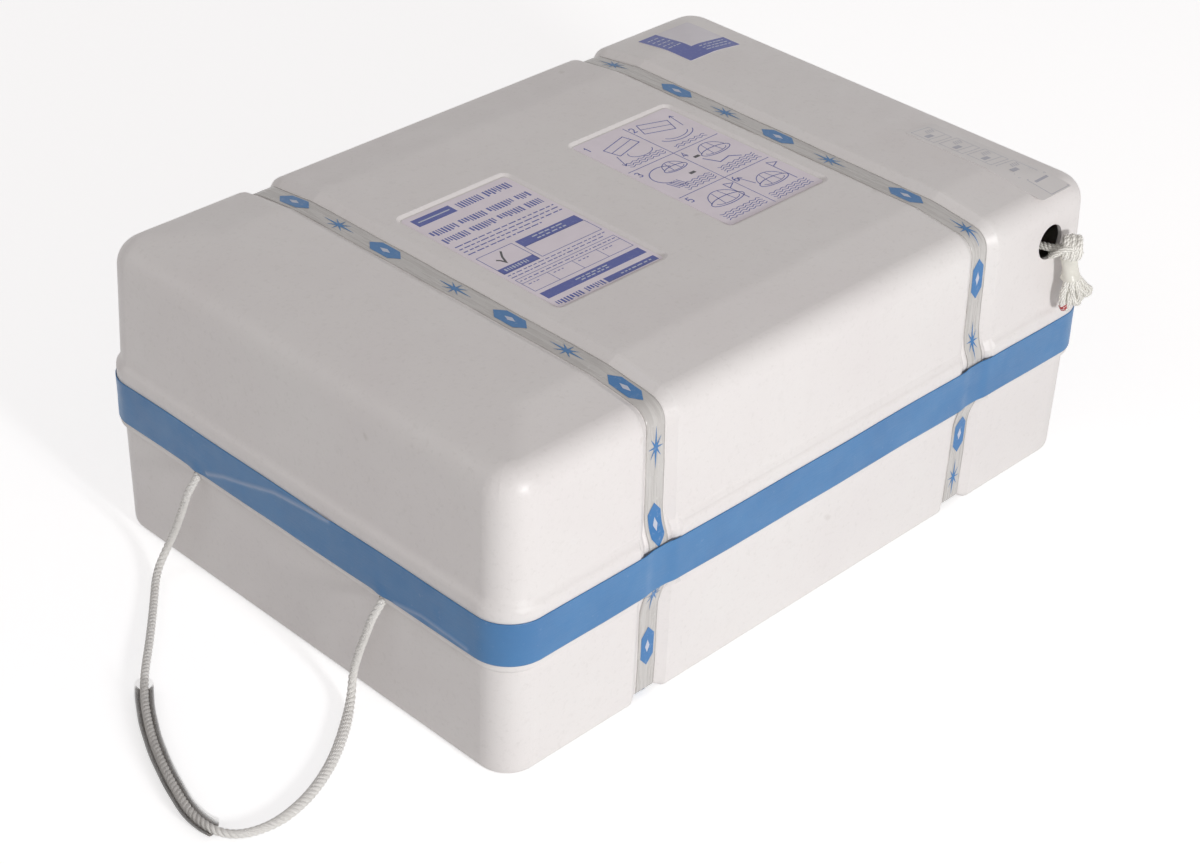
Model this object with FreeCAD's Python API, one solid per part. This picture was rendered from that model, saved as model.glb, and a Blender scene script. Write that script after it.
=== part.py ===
import FreeCAD, Part
import math
import os

# Liferaft canister: two moulded shells taped together round their flange, with
# the packed raft and its inflation gear inside.  Millimetres, +Z up.  The
# origin is under the centre of the base, +X runs along the length towards the
# painter end, and the rope handle is on the -X end.

# ---- driving dimensions: casing ------------------------------------------
LENGTH = 750.0            # over the flange
WIDTH = 520.0             # over the flange
HEIGHT = 298.0            # base to flat crown
WALL = 4.0                # shell thickness
SEAM_Z = 139.0            # middle of the joint between the shells
GASKET_THICK = 3.0
FLANGE_CORNER = 35.0      # plan radius of the flange corners
FLANGE_STEP = 4.5         # how far the flange stands out from the walls
FLANGE_BOTTOM = 113.0
FLANGE_TOP = 171.0
UPPER_DRAFT = 1.5         # degrees
LOWER_DRAFT = 0.6
CROWN_LENGTH = 582.0      # flat middle of the top
CROWN_WIDTH = 365.0
CROWN_EASE = 90.0         # rounding of the crown's shallow edges
CROWN_SLOPE = 7.0         # degrees, from the flat middle down to the walls
SHOULDER_RADIUS = 24.0
BASE_RADIUS = 9.0
FLANGE_TOP_RADIUS = 7.0
FLANGE_COVE_RADIUS = 9.0
FLANGE_LOW_RADIUS = 3.0
SPIGOT_WALL = 3.0         # lip of the lower shell inside the upper one
SPIGOT_RISE = 11.0
SPIGOT_LEDGE = 3.5
CLEARANCE = 0.3

# ---- tape grooves, label recesses, holes ----------------------------------
GROOVE_X = 205.0          # the two grooves lie at plus and minus this
GROOVE_DEPTH = 6.0
GROOVE_FLOOR = 23.0       # width of the flat bottom
GROOVE_SIDE = 8.5         # run of each sloping side
GROOVE_EASE = 2.5         # run of the eased edge over each side
GROOVE_EASE_DROP = 0.5
GROOVE_LIFT = 3.5         # how far its floor stands out where it crosses the flange
GROOVE_LIFT_RUN = 9.0     # height of the slope up to that
RECESS_X = 104.0          # centre of each recess from the middle
RECESS_LENGTH = 134.0
RECESS_WIDTH = 206.0
RECESS_DEPTH = 2.5
RECESS_SIDE = 3.0
RECESS_CORNER = 6.0
PAINTER_HOLE = 34.0
PAINTER_HOLE_FROM_END = 70.0
PAINTER_HOLE_FROM_TOP = 52.0

# ---- tapes and labels -------------------------------------------------------
SEAM_TAPE_WIDTH = 41.0
SEAM_TAPE_THICK = 0.8
STRAP_TAPE_WIDTH = 21.0
STRAP_TAPE_THICK = 0.6
LABEL_THICK = 0.4
LABEL_MARGIN = 5.0        # label edge to recess edge
CORNER_LABEL_SIZE = 72.0
CORNER_LABEL_FROM_END = 120.0    # its inner corner, from the end and from the back
CORNER_LABEL_FROM_BACK = 111.0
STRIP_LABEL_LENGTH = 160.0
STRIP_LABEL_WIDTH = 44.0
STRIP_LABEL_FROM_END = 61.0      # its centre, from the end and from the front
STRIP_LABEL_FROM_FRONT = 92.0

# ---- rope handle ------------------------------------------------------------
ROPE = 7.0
ROPE_HOLE = 8.2
ROPE_TILT = 40.0          # degrees below level, of the rope holes
ROPE_EXIT_Y = (127.0, -114.0)
ROPE_EXIT_RISE = 0.5      # of its mouths over the flange's lower edge
KNOT_RADIUS = 9.0
KNOT_LENGTH = 17.0
KNOT_RIM = 1.0            # width of a knot's flat end round the rope
KNOT_SEAT = 6.5           # along the rope's axis, from its mouth to the knot
ROPE_LEAD = 15.0          # straight length outside the mouth, before the rope hangs
GRIP_OUTER = 16.0
GRIP_WALL = 2.0

# ---- painter ------------------------------------------------------------------
PAINTER = 8.0
PAINTER_KNOT_RADIUS = 13.0
PAINTER_KNOT_LENGTH = 21.0
PAINTER_KNOT_FLAT = 7.0   # radius of its flat ends
WAIST_RADIUS = 7.6        # narrowest part of the wrapped length under the knot
WHIPPING_RADIUS = 9.0     # at its ends
WHIPPING_DROP = 40.0      # its lower end, below the painter hole's middle
TAIL_DROP = 71.0          # the loops' lower end, below it
TAIL_SPREAD = 17.0        # half width of the fanned loops
TAIL_THICK = 6.5          # half thickness
COIL_OUTER = 58.0
COIL_BORE = 10.0
COIL_DROP = 45.7          # its top, below the painter hole's middle
COIL_SHARE = 0.458        # its height, of the room over the gas cylinder
COIL_ROUND = 12.0
COIL_FROM_END = 75.0
COIL_INWARD = 10.0        # its middle, behind the gas cylinder's axis

# ---- what the canister holds -----------------------------------------------------
CYLINDER_RADIUS = 50.0
CYLINDER_LENGTH = 530.0   # between the tips of its domed ends
CYLINDER_DOME = 30.0
CYLINDER_FROM_FRONT = 70.0       # its axis, from the flange face
NECK_RADIUS = 15.0
NECK_LENGTH = 14.0
VALVE_RADIUS = 20.0
VALVE_LENGTH = 44.0
VALVE_CAP_RADIUS = 13.0
VALVE_CAP_LENGTH = 8.0
VALVE_FROM_END = 64.0     # its cap, from the flange face
PORT_RADIUS = 8.0
PORT_REACH = 30.0         # from the valve's axis to the end of its hose port
HOSE = 10.0
INLET_FROM_PORT = 97.0    # inlet on the front of the packed raft
INLET_FLANGE_RADIUS = 22.0
INLET_FLANGE_THICK = 3.0
INLET_BODY_RADIUS = 9.0
INLET_BODY_LENGTH = 14.0
STRAP_WIDTH = 40.0
STRAP_THICK = 2.0
STRAP_X = (-150.0, 0.0, 135.0)
FIRING_CABLE = 3.0
PACK_FROM_END = 30.0      # each end of the pack, from the flange face
PACK_FROM_AXIS = 82.0     # its front, behind the gas cylinder's axis
PACK_FROM_BACK = 18.0
PACK_FROM_TOP = 43.0
PACK_ROUND = 26.0
PACK_LAYERS = 4           # folded layers that show at its long sides
PACK_BULGE = 8.0          # of each layer
BAG_FROM_FRONT = 20.0
BAG_ROUND = 14.0
ANCHOR_BAG_START = 70.0   # its inner end
ANCHOR_BAG_FROM_END = 41.0
EMERGENCY_BAG_START = -60.0
EMERGENCY_BAG_FROM_END = 31.0
EMERGENCY_BAG_FROM_TOP = 36.0
BELLOWS_X = 0.0
BELLOWS_INWARD = 12.0     # its middle, behind the gas cylinder's axis
BELLOWS_RADIUS = 50.0
BELLOWS_PLATE = 4.0
BELLOWS_PLEATS = 5
BELLOWS_PITCH = 12.0
BELLOWS_FOLD = 9.0        # depth of the pleats
NOZZLE_RADIUS = 7.0
NOZZLE_REACH = 60.0
PADDLE_LENGTH = 560.0
PADDLE_SHARES = (0.366, 0.78)    # across the pack, from its front
SHAFT_RADIUS = 9.0
HANDLE_LENGTH = 70.0      # cross piece at the end of the shaft
HANDLE_RADIUS = 10.0
BLADE_LENGTH = 200.0
BLADE_WIDTH = 116.0
BLADE_NECK = 40.0         # width where the blade starts
BLADE_THICK = 7.0
BLADE_CORNER = 28.0
BLADE_FLARE = 60.0        # rounding where it is widest, towards the shaft
BLADE_ROOT = 4.0          # rounding where it starts

HALF_X = LENGTH / 2.0
HALF_Y = WIDTH / 2.0
SEAM_LOW = SEAM_Z - GASKET_THICK / 2.0
SEAM_HIGH = SEAM_Z + GASKET_THICK / 2.0
COVE_TOP = FLANGE_TOP + FLANGE_STEP
STEP_FOOT = FLANGE_BOTTOM - FLANGE_STEP
FACE_SHIFT = math.tan(math.radians(22.5))   # of a 45 degree slope, per unit of skin
FAR = 60.0                # how far cutting tools reach past the part
RIDGE_TOP = WALL + GROOVE_DEPTH             # grooves stand up inside the base as ridges
PAINTER_HOLE_X = HALF_X - PAINTER_HOLE_FROM_END
PAINTER_HOLE_Z = HEIGHT - PAINTER_HOLE_FROM_TOP
ROPE_EXIT_Z = FLANGE_BOTTOM + ROPE_EXIT_RISE
VALVE_END = HALF_X - VALVE_FROM_END
VALVE_X = VALVE_END - VALVE_CAP_LENGTH - VALVE_LENGTH
CYLINDER_END = VALVE_X - NECK_LENGTH
CYLINDER_X = CYLINDER_END - CYLINDER_LENGTH / 2.0
CYLINDER_Y = CYLINDER_FROM_FRONT - HALF_Y
CYLINDER_Z = RIDGE_TOP + CLEARANCE + CYLINDER_RADIUS
PORT_X = VALVE_X + VALVE_LENGTH / 2.0
INLET_X = PORT_X - INLET_FROM_PORT
STRAP_OUTER = CYLINDER_RADIUS + CLEARANCE + STRAP_THICK
SHELF_Z = CYLINDER_Z + STRAP_OUTER + CLEARANCE   # what lies on the strapped cylinder starts here
PACK_HALF_LENGTH = HALF_X - PACK_FROM_END
PACK_FRONT = CYLINDER_Y + PACK_FROM_AXIS
PACK_BACK = HALF_Y - PACK_FROM_BACK
PACK_TOP = HEIGHT - PACK_FROM_TOP
BAG_FRONT = BAG_FROM_FRONT - HALF_Y
BAG_BACK = PACK_FRONT - CLEARANCE
COIL_X = HALF_X - COIL_FROM_END
COIL_Y = CYLINDER_Y + COIL_INWARD
COIL_TOP = PAINTER_HOLE_Z - COIL_DROP
COIL_HEIGHT = (COIL_TOP - SHELF_Z) * COIL_SHARE
COIL_BOTTOM = COIL_TOP - COIL_HEIGHT
ANCHOR_BAG_TOP = COIL_BOTTOM - CLEARANCE
WHIPPING_BOTTOM = PAINTER_HOLE_Z - WHIPPING_DROP
TAIL_BOTTOM = PAINTER_HOLE_Z - TAIL_DROP


def vec(x, y, z):
    return FreeCAD.Vector(x, y, z)


os.makedirs("parts", exist_ok=True)

X_AXIS = vec(1, 0, 0)
Y_AXIS = vec(0, 1, 0)
Z_AXIS = vec(0, 0, 1)


def save(shape, name):
    """Write one sub-part, after a check that it is sound."""
    assert shape.isValid(), name
    assert shape.Volume > 0, name
    shape.exportStep("parts/%s.step" % name)
    print("%-22s solids %d  volume %.0f" % (name, len(shape.Solids), shape.Volume))


# ---- outlines ---------------------------------------------------------------
def rounded_polygon(points, radii):
    """Closed wire through 3-D points in one plane, each corner rounded."""
    edges = []
    starts, ends = [], []
    count = len(points)
    for i, corner in enumerate(points):
        back = (points[i - 1] - corner).normalize()
        ahead = (points[(i + 1) % count] - corner).normalize()
        if radii[i] <= 0:
            starts.append(corner)
            ends.append(corner)
            edges.append(None)
            continue
        half = back.getAngle(ahead) / 2.0
        reach = radii[i] / math.tan(half)
        centre = corner + (back + ahead).normalize() * (radii[i] / math.sin(half))
        first = corner + back * reach
        last = corner + ahead * reach
        middle = centre + (corner - centre).normalize() * radii[i]
        starts.append(first)
        ends.append(last)
        edges.append(Part.Arc(first, middle, last).toShape())
    loop = []
    for i in range(count):
        if edges[i] is not None:
            loop.append(edges[i])
        loop.append(Part.makeLine(ends[i], starts[(i + 1) % count]))
    return Part.Wire(loop)


def rounded_rect(half_x, half_y, radius, z):
    corners = [vec(-half_x, -half_y, z), vec(half_x, -half_y, z),
               vec(half_x, half_y, z), vec(-half_x, half_y, z)]
    return rounded_polygon(corners, [radius] * 4)


def inset_loop(points, depth):
    """Move every side of a convex (y, z) polygon inwards by depth."""
    moved = []
    count = len(points)
    for i in range(count):
        sides = []
        for a, b in ((points[i - 1], points[i]), (points[i], points[(i + 1) % count])):
            along = (b[0] - a[0], b[1] - a[1])
            size = math.hypot(*along)
            inward = (-along[1] / size, along[0] / size)
            sides.append((a[0] + inward[0] * depth, a[1] + inward[1] * depth, along))
        (ay, az, a_dir), (by, bz, b_dir) = sides
        cross = a_dir[0] * b_dir[1] - a_dir[1] * b_dir[0]
        t = ((by - ay) * b_dir[1] - (bz - az) * b_dir[0]) / cross
        moved.append((ay + a_dir[0] * t, az + a_dir[1] * t))
    return moved


def prism(wire, rise):
    return Part.Face(wire).extrude(rise)


def loft(wires):
    return Part.makeLoft(wires, True, True)


# ---- the casing's envelope -----------------------------------------------------
def upper_inset(z):
    """How far the upper wall lies inside the flange face at height z."""
    return FLANGE_STEP + (z - COVE_TOP) * math.tan(math.radians(UPPER_DRAFT))


def lower_inset(z):
    return FLANGE_STEP + (STEP_FOOT - z) * math.tan(math.radians(LOWER_DRAFT))


def plan(inset, z):
    return rounded_rect(HALF_X - inset, HALF_Y - inset, FLANGE_CORNER - inset, z)


def stack(levels):
    """Solid with flat faces between rectangles (half_x, half_y, z), lowest first."""
    corners = [[vec(sx * hx, sy * hy, z) for sx, sy in ((-1, -1), (1, -1), (1, 1), (-1, 1))]
               for hx, hy, z in levels]
    loops = [corners[0], corners[-1]]
    for lower, upper in zip(corners, corners[1:]):
        for i in range(4):
            loops.append([lower[i - 1], lower[i], upper[i], upper[i - 1]])
    faces = [Part.Face(Part.makePolygon(loop + loop[:1])) for loop in loops]
    return Part.Solid(Part.Shell(faces)).removeSplitter()


def edges_between(shape, low, high):
    """Edges that lie wholly between two heights."""
    return [e for e in shape.Edges
            if min(v.Z for v in e.Vertexes) > low and max(v.Z for v in e.Vertexes) < high]


def rising_edges(shape):
    """Edges that run up from one level to another."""
    return [e for e in shape.Edges
            if abs(e.Vertexes[0].Z - e.Vertexes[-1].Z) > 1.0]


def crown(skin):
    """Everything under the hipped top, moved inwards by skin."""
    slope = math.tan(math.radians(CROWN_SLOPE))
    shift = skin * math.tan(math.radians(CROWN_SLOPE / 2.0))
    half_x = CROWN_LENGTH / 2.0 - shift
    half_y = CROWN_WIDTH / 2.0 - shift
    top = HEIGHT - skin
    reach = HALF_X - half_x + FAR
    roof = stack([(half_x + reach, half_y + reach, 0.0),
                  (half_x + reach, half_y + reach, top - reach * slope),
                  (half_x, half_y, top)])
    soft = [e for e in roof.Edges if max(v.Z for v in e.Vertexes) > top - 0.1]
    return roof.makeFillet(CROWN_EASE, soft)


def flange_block(skin, near, far, edge_z):
    """Flange from height near to far, its far edge sloped back to the wall."""
    block = prism(plan(skin, near), Z_AXIS * (far - near))
    return block.makeChamfer(FLANGE_STEP, edges_between(block, edge_z - 0.1, edge_z + 0.1))


def upper_form(skin, bottom):
    """Solid of the upper half, its skin moved inwards by skin."""
    levels = [(HALF_X - skin - upper_inset(z), HALF_Y - skin - upper_inset(z), z)
              for z in (bottom, HEIGHT + FAR)]
    walls = stack(levels)
    walls = walls.makeFillet(FLANGE_CORNER - FLANGE_STEP - skin, rising_edges(walls))
    body = walls.common(crown(skin))
    shoulder = edges_between(body, COVE_TOP + 1.0, HEIGHT - skin - 1.0)
    body = body.makeFillet(SHOULDER_RADIUS - skin, shoulder)
    top = COVE_TOP - skin * FACE_SHIFT
    body = body.fuse(flange_block(skin, bottom, top, top)).removeSplitter()
    if skin > 0.0:
        return body
    body = body.makeFillet(FLANGE_TOP_RADIUS, edges_between(body, FLANGE_TOP - 0.1, FLANGE_TOP + 0.1))
    return body.makeFillet(FLANGE_COVE_RADIUS, edges_between(body, COVE_TOP - 0.5, COVE_TOP + 0.5))


def lower_form(skin, top):
    levels = [(HALF_X - skin - lower_inset(z), HALF_Y - skin - lower_inset(z), z)
              for z in (skin, top)]
    walls = stack(levels)
    walls = walls.makeFillet(FLANGE_CORNER - FLANGE_STEP - skin, rising_edges(walls))
    base = edges_between(walls, skin - 0.1, skin + 0.1)
    body = walls.makeFillet(BASE_RADIUS, base)
    foot = STEP_FOOT + skin * FACE_SHIFT
    body = body.fuse(flange_block(skin, foot, top, foot)).removeSplitter()
    if skin > 0.0:
        return body
    under = edges_between(body, FLANGE_BOTTOM - 0.1, FLANGE_BOTTOM + 0.1)
    return body.makeFillet(FLANGE_LOW_RADIUS, under)


# ---- grooves for the strap tapes ------------------------------------------------
def girth_points():
    """Cross-section that the grooves follow, as (y, z) corners."""
    slope = math.tan(math.radians(CROWN_SLOPE))
    draft = math.tan(math.radians(UPPER_DRAFT))
    foot = HALF_Y - lower_inset(0.0)
    low = HALF_Y - FLANGE_STEP
    crown_y = CROWN_WIDTH / 2.0
    # where the upper wall and the crown slope would meet
    drop = (low - crown_y - (HEIGHT - COVE_TOP) * draft) * slope / (1.0 - draft * slope)
    eaves_z = HEIGHT - drop
    eaves_y = HALF_Y - upper_inset(eaves_z)
    right = [(foot, 0.0), (low, STEP_FOOT), (low + GROOVE_LIFT, STEP_FOOT + GROOVE_LIFT_RUN),
             (low + GROOVE_LIFT, COVE_TOP - GROOVE_LIFT_RUN), (low, COVE_TOP),
             (eaves_y, eaves_z), (crown_y, HEIGHT)]
    return right + [(-y, z) for y, z in reversed(right)]


def girth_wire(x, depth):
    half = [BASE_RADIUS, 0.0, 0.0, 0.0, 0.0, SHOULDER_RADIUS, 0.0]
    radii = [max(r - depth, 0.5) if r else 0.0 for r in half + half[::-1]]
    points = [vec(x, y, z) for y, z in inset_loop(girth_points(), depth)]
    return rounded_polygon(points, radii)


def groove_tool(x, skin):
    """What a groove takes away from a form whose skin is moved in by skin."""
    spread = skin * math.tan(math.atan2(GROOVE_DEPTH, GROOVE_SIDE) / 2.0)
    floor = GROOVE_FLOOR / 2.0 + spread
    side = floor + GROOVE_SIDE
    ease = side + GROOVE_EASE
    proud = FLANGE_STEP + 2.0
    outer = ease + proud * GROOVE_SIDE / GROOVE_DEPTH
    profile = [(-outer, -proud), (-ease, 0.0), (-side, GROOVE_EASE_DROP), (-floor, GROOVE_DEPTH),
               (floor, GROOVE_DEPTH), (side, GROOVE_EASE_DROP), (ease, 0.0), (outer, -proud)]
    core = loft([girth_wire(x + dx, depth + skin) for dx, depth in profile])
    slab = Part.makeBox(2.0 * outer - 0.02, WIDTH + 2.0 * FAR, HEIGHT + 2.0 * FAR,
                        vec(x - outer + 0.01, -HALF_Y - FAR, -FAR))
    return slab.cut(core)


def with_grooves(form, skin):
    for x in (-GROOVE_X, GROOVE_X):
        form = form.cut(groove_tool(x, skin))
    return form


# ---- shells -----------------------------------------------------------------------
def recess_tool(x, skin):
    """Pocket for a label, or the step that it makes inside the shell."""
    half_l, half_w = RECESS_LENGTH / 2.0, RECESS_WIDTH / 2.0
    floor_z = HEIGHT - RECESS_DEPTH - skin
    low = rounded_rect(half_l - RECESS_SIDE + skin, half_w - RECESS_SIDE + skin,
                       RECESS_CORNER, floor_z)
    high = rounded_rect(half_l + skin, half_w + skin, RECESS_CORNER + RECESS_SIDE, HEIGHT - skin)
    clear = rounded_rect(half_l + skin, half_w + skin, RECESS_CORNER + RECESS_SIDE, HEIGHT + 1.0)
    tool = loft([low, high, clear])
    tool.translate(vec(x, 0, 0))
    return tool


def upper_shell():
    body = with_grooves(upper_form(0.0, SEAM_HIGH), 0.0)
    cavity = with_grooves(upper_form(WALL, SEAM_HIGH - FAR), WALL)
    for x in (-RECESS_X, RECESS_X):
        body = body.cut(recess_tool(x, 0.0))
        cavity = cavity.cut(recess_tool(x, WALL))
    shell = body.cut(cavity)
    hole = Part.makeCylinder(PAINTER_HOLE / 2.0, FAR,
                             vec(PAINTER_HOLE_X, -HALF_Y - FAR / 2.0, PAINTER_HOLE_Z), Y_AXIS)
    return shell.cut(hole)


def ring(inner, outer, low, high):
    """Band that follows the flange, between two insets and two heights."""
    rise = vec(0, 0, high - low)
    return prism(plan(inner, low), rise).cut(prism(plan(outer, low), rise))


def lip_ring(inner, outer, low, high):
    """Band inside the flange that dips in at the grooves, as the walls do."""
    rise = vec(0, 0, high - low)
    body = with_grooves(prism(plan(inner, low), rise), inner)
    return body.cut(with_grooves(prism(plan(outer, low), rise), outer))


def rope_axis():
    tilt = math.radians(ROPE_TILT)
    return vec(-math.cos(tilt), 0, -math.sin(tilt))


def rope_mouth(y):
    """Where the rope crosses the slope under the flange."""
    return vec(-HALF_X + FLANGE_STEP / 2.0, y, ROPE_EXIT_Z)


def lower_shell():
    body = with_grooves(lower_form(0.0, SEAM_LOW), 0.0)
    cavity = with_grooves(lower_form(WALL, SEAM_LOW + FAR), WALL)
    shell = body.cut(cavity)
    lip = WALL + CLEARANCE
    inside = lip + SPIGOT_WALL
    shell = shell.fuse(lip_ring(WALL - 1.0, inside, SEAM_LOW - SPIGOT_LEDGE, SEAM_LOW))
    shell = shell.fuse(lip_ring(lip, inside, SEAM_LOW - SPIGOT_LEDGE, SEAM_HIGH + SPIGOT_RISE))
    shell = shell.removeSplitter()
    for y in ROPE_EXIT_Y:
        start = rope_mouth(y) - rope_axis() * FAR / 2.0
        shell = shell.cut(Part.makeCylinder(ROPE_HOLE / 2.0, FAR, start, rope_axis()))
    return shell


# ---- gasket, tapes and labels --------------------------------------------------------
def seam_gasket():
    return lip_ring(CLEARANCE, WALL, SEAM_LOW, SEAM_HIGH)


def seam_tape():
    low = SEAM_Z - SEAM_TAPE_WIDTH / 2.0
    return ring(-SEAM_TAPE_THICK, 0.0, low, low + SEAM_TAPE_WIDTH)


def strap_tape(x):
    """Tape round the whole canister, on the flat floor of one groove."""
    start = x - STRAP_TAPE_WIDTH / 2.0
    width = vec(STRAP_TAPE_WIDTH, 0, 0)
    outer = prism(girth_wire(start, GROOVE_DEPTH - STRAP_TAPE_THICK), width)
    return outer.cut(prism(girth_wire(start, GROOVE_DEPTH), width))


def recess_label(x):
    half_l = RECESS_LENGTH / 2.0 - LABEL_MARGIN
    half_w = RECESS_WIDTH / 2.0 - LABEL_MARGIN
    label = prism(rounded_rect(half_l, half_w, 3.0, HEIGHT - RECESS_DEPTH), Z_AXIS * LABEL_THICK)
    label.translate(vec(x, 0, 0))
    return label


def skin_label(outline):
    """Thin film that follows the crown inside a plan outline."""
    column = prism(outline, Z_AXIS * FAR)
    return column.common(crown(-LABEL_THICK)).cut(crown(0.0))


def corner_label():
    x, y = HALF_X - CORNER_LABEL_FROM_END, HALF_Y - CORNER_LABEL_FROM_BACK
    size = CORNER_LABEL_SIZE
    z = HEIGHT - FAR / 2.0
    return skin_label(rounded_polygon([vec(x, y, z), vec(x + size, y, z),
                                       vec(x + size, y + size, z), vec(x, y + size, z)],
                                      [3.0] * 4))


def strip_label():
    half_w, half_l = STRIP_LABEL_WIDTH / 2.0, STRIP_LABEL_LENGTH / 2.0
    outline = rounded_rect(half_w, half_l, 3.0, HEIGHT - FAR / 2.0)
    outline.translate(vec(HALF_X - STRIP_LABEL_FROM_END, STRIP_LABEL_FROM_FRONT - HALF_Y, 0))
    return skin_label(outline)


# ---- cords ---------------------------------------------------------------------------------
def bend_radii(points):
    """Arc radius at each inner point: as large as its two runs allow."""
    radii = []
    for a, b, c in zip(points, points[1:], points[2:]):
        turn = (b - a).getAngle(c - b)
        radii.append(0.45 * min((b - a).Length, (c - b).Length) / math.tan(turn / 2.0))
    return radii


def cord_path(points, radii):
    """Straight runs joined by tangent arcs."""
    edges = []
    start = points[0]
    for (a, b, c), radius in zip(zip(points, points[1:], points[2:]), radii):
        back, ahead = (a - b).normalize(), (c - b).normalize()
        half = back.getAngle(ahead) / 2.0
        reach = radius / math.tan(half)
        middle = b + (back + ahead).normalize() * (radius / math.sin(half) - radius)
        edges.append(Part.makeLine(start, b + back * reach))
        edges.append(Part.Arc(b + back * reach, middle, b + ahead * reach).toShape())
        start = b + ahead * reach
    edges.append(Part.makeLine(start, points[-1]))
    return Part.Wire(edges)


def tube(path, radius):
    edge = path.Edges[0]
    start = edge.valueAt(edge.FirstParameter)
    circle = Part.makeCircle(radius, start, edge.tangentAt(edge.FirstParameter))
    return path.makePipeShell([Part.Wire([circle])], True, False)


def cord(points, diameter, name):
    radii = bend_radii(points)
    path = cord_path(points, radii)
    solid = tube(path, diameter / 2.0)
    expected = math.pi * diameter ** 2 / 4.0 * path.Length
    print("%s: length %.0f, radii %s, volume ratio %.4f"
          % (name, path.Length, " ".join("%.0f" % r for r in radii), solid.Volume / expected))
    return solid


def barrel(start, axis, radius, length, flat):
    """Rounded barrel on an axis, with flat round ends of radius flat."""
    bulge = vec(radius, 0, length / 2.0)
    ends = [vec(flat, 0, 0), vec(flat, 0, length)]
    profile = Part.Wire([Part.makeLine(vec(0, 0, 0), ends[0]),
                         Part.Arc(ends[0], bulge, ends[1]).toShape(),
                         Part.makeLine(ends[1], vec(0, 0, length)),
                         Part.makeLine(vec(0, 0, length), vec(0, 0, 0))])
    solid = Part.Face(profile).revolve(vec(0, 0, 0), Z_AXIS, 360)
    solid.Placement = FreeCAD.Placement(start, FreeCAD.Rotation(Z_AXIS, axis))
    return solid


# ---- rope handle ------------------------------------------------------------------------------
# The rope hangs from its two holes, and its loop lies on the ground.  Each
# point is (distance out from the end's flange face, y, z).
def beyond_end(places):
    return [vec(-HALF_X - out, y, z) for out, y, z in places]


ROPE_BACK = beyond_end((
    (8.0, 141.0, 73.0), (7.0, 155.0, 44.0), (9.0, 168.0, 17.0), (27.0, 160.0, 4.6),
    (57.0, 124.0, 3.5), (91.0, 84.0, 5.2)))
ROPE_IN_GRIP = beyond_end((
    (122.0, 50.0, 6.0), (149.0, 16.0, 5.8), (174.0, -26.0, 5.8), (194.0, -74.0, 5.8),
    (205.0, -122.0, 6.0)))
ROPE_FRONT = beyond_end((
    (195.0, -158.0, 5.2), (161.0, -171.0, 3.6), (123.0, -168.0, 3.5), (83.0, -151.0, 3.5),
    (46.0, -122.0, 3.5), (18.0, -92.0, 4.5), (7.0, -80.0, 24.0), (7.0, -88.0, 52.0),
    (7.0, -98.0, 77.0)))


def rope_lead(y):
    """Straight stretch of rope through its hole, from the knot outwards."""
    return [rope_mouth(y) + rope_axis() * along for along in (-KNOT_SEAT, ROPE_LEAD)]


def handle_rope():
    first, last = [rope_lead(y) for y in ROPE_EXIT_Y]
    route = first + ROPE_BACK + ROPE_IN_GRIP + ROPE_FRONT + last[::-1]
    return cord(route, ROPE, "handle_rope")


def handle_knot(y):
    start = rope_mouth(y) - rope_axis() * KNOT_SEAT
    return barrel(start, rope_axis() * -1.0, KNOT_RADIUS, KNOT_LENGTH, ROPE / 2.0 + KNOT_RIM)


def handle_grip():
    """Clear hose over the rope, lying on the ground."""
    lift = GRIP_OUTER / 2.0
    flat = [vec(p.x, p.y, lift) for p in [ROPE_BACK[-1]] + ROPE_IN_GRIP + [ROPE_FRONT[0]]]
    radii = bend_radii(flat)
    flat[0] = (flat[0] + flat[1]) * 0.5
    flat[-1] = (flat[-1] + flat[-2]) * 0.5
    path = cord_path(flat, radii)
    return tube(path, GRIP_OUTER / 2.0).cut(tube(path, GRIP_OUTER / 2.0 - GRIP_WALL))


# ---- painter ---------------------------------------------------------------------------------------
# Each point is set from the painter hole's middle, and from the front's flange face.
PAINTER_ROUTE = [vec(PAINTER_HOLE_X + x, y - HALF_Y, PAINTER_HOLE_Z + z) for x, y, z in (
    (-14.0, 46.0, -COIL_DROP), (-14.0, 46.0, -28.0), (-12.5, 39.0, -12.0),
    (-9.0, 25.0, -3.0), (-6.0, 13.0, -2.0), (-2.5, 1.5, -2.5), (5.0, -3.5, -4.0))]
TAIL_LEAN = vec(0.139, -0.111, -1.0)    # way that the painter hangs under its knot
TAIL_FAN = vec(0.86, -0.5, 0.0)     # way that its loops spread


def painter_line():
    return cord(PAINTER_ROUTE, PAINTER, "painter_line")


def painter_axis():
    return (PAINTER_ROUTE[-1] - PAINTER_ROUTE[-2]).normalize()


def painter_knot():
    return barrel(PAINTER_ROUTE[-1], painter_axis(), PAINTER_KNOT_RADIUS, PAINTER_KNOT_LENGTH,
                  PAINTER_KNOT_FLAT)


def hang_point(z):
    """Point at height z on the line in which the painter hangs under its knot."""
    heart = PAINTER_ROUTE[-1] + painter_axis() * (PAINTER_KNOT_LENGTH / 2.0)
    return heart + TAIL_LEAN * ((z - heart.z) / TAIL_LEAN.z)


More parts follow.
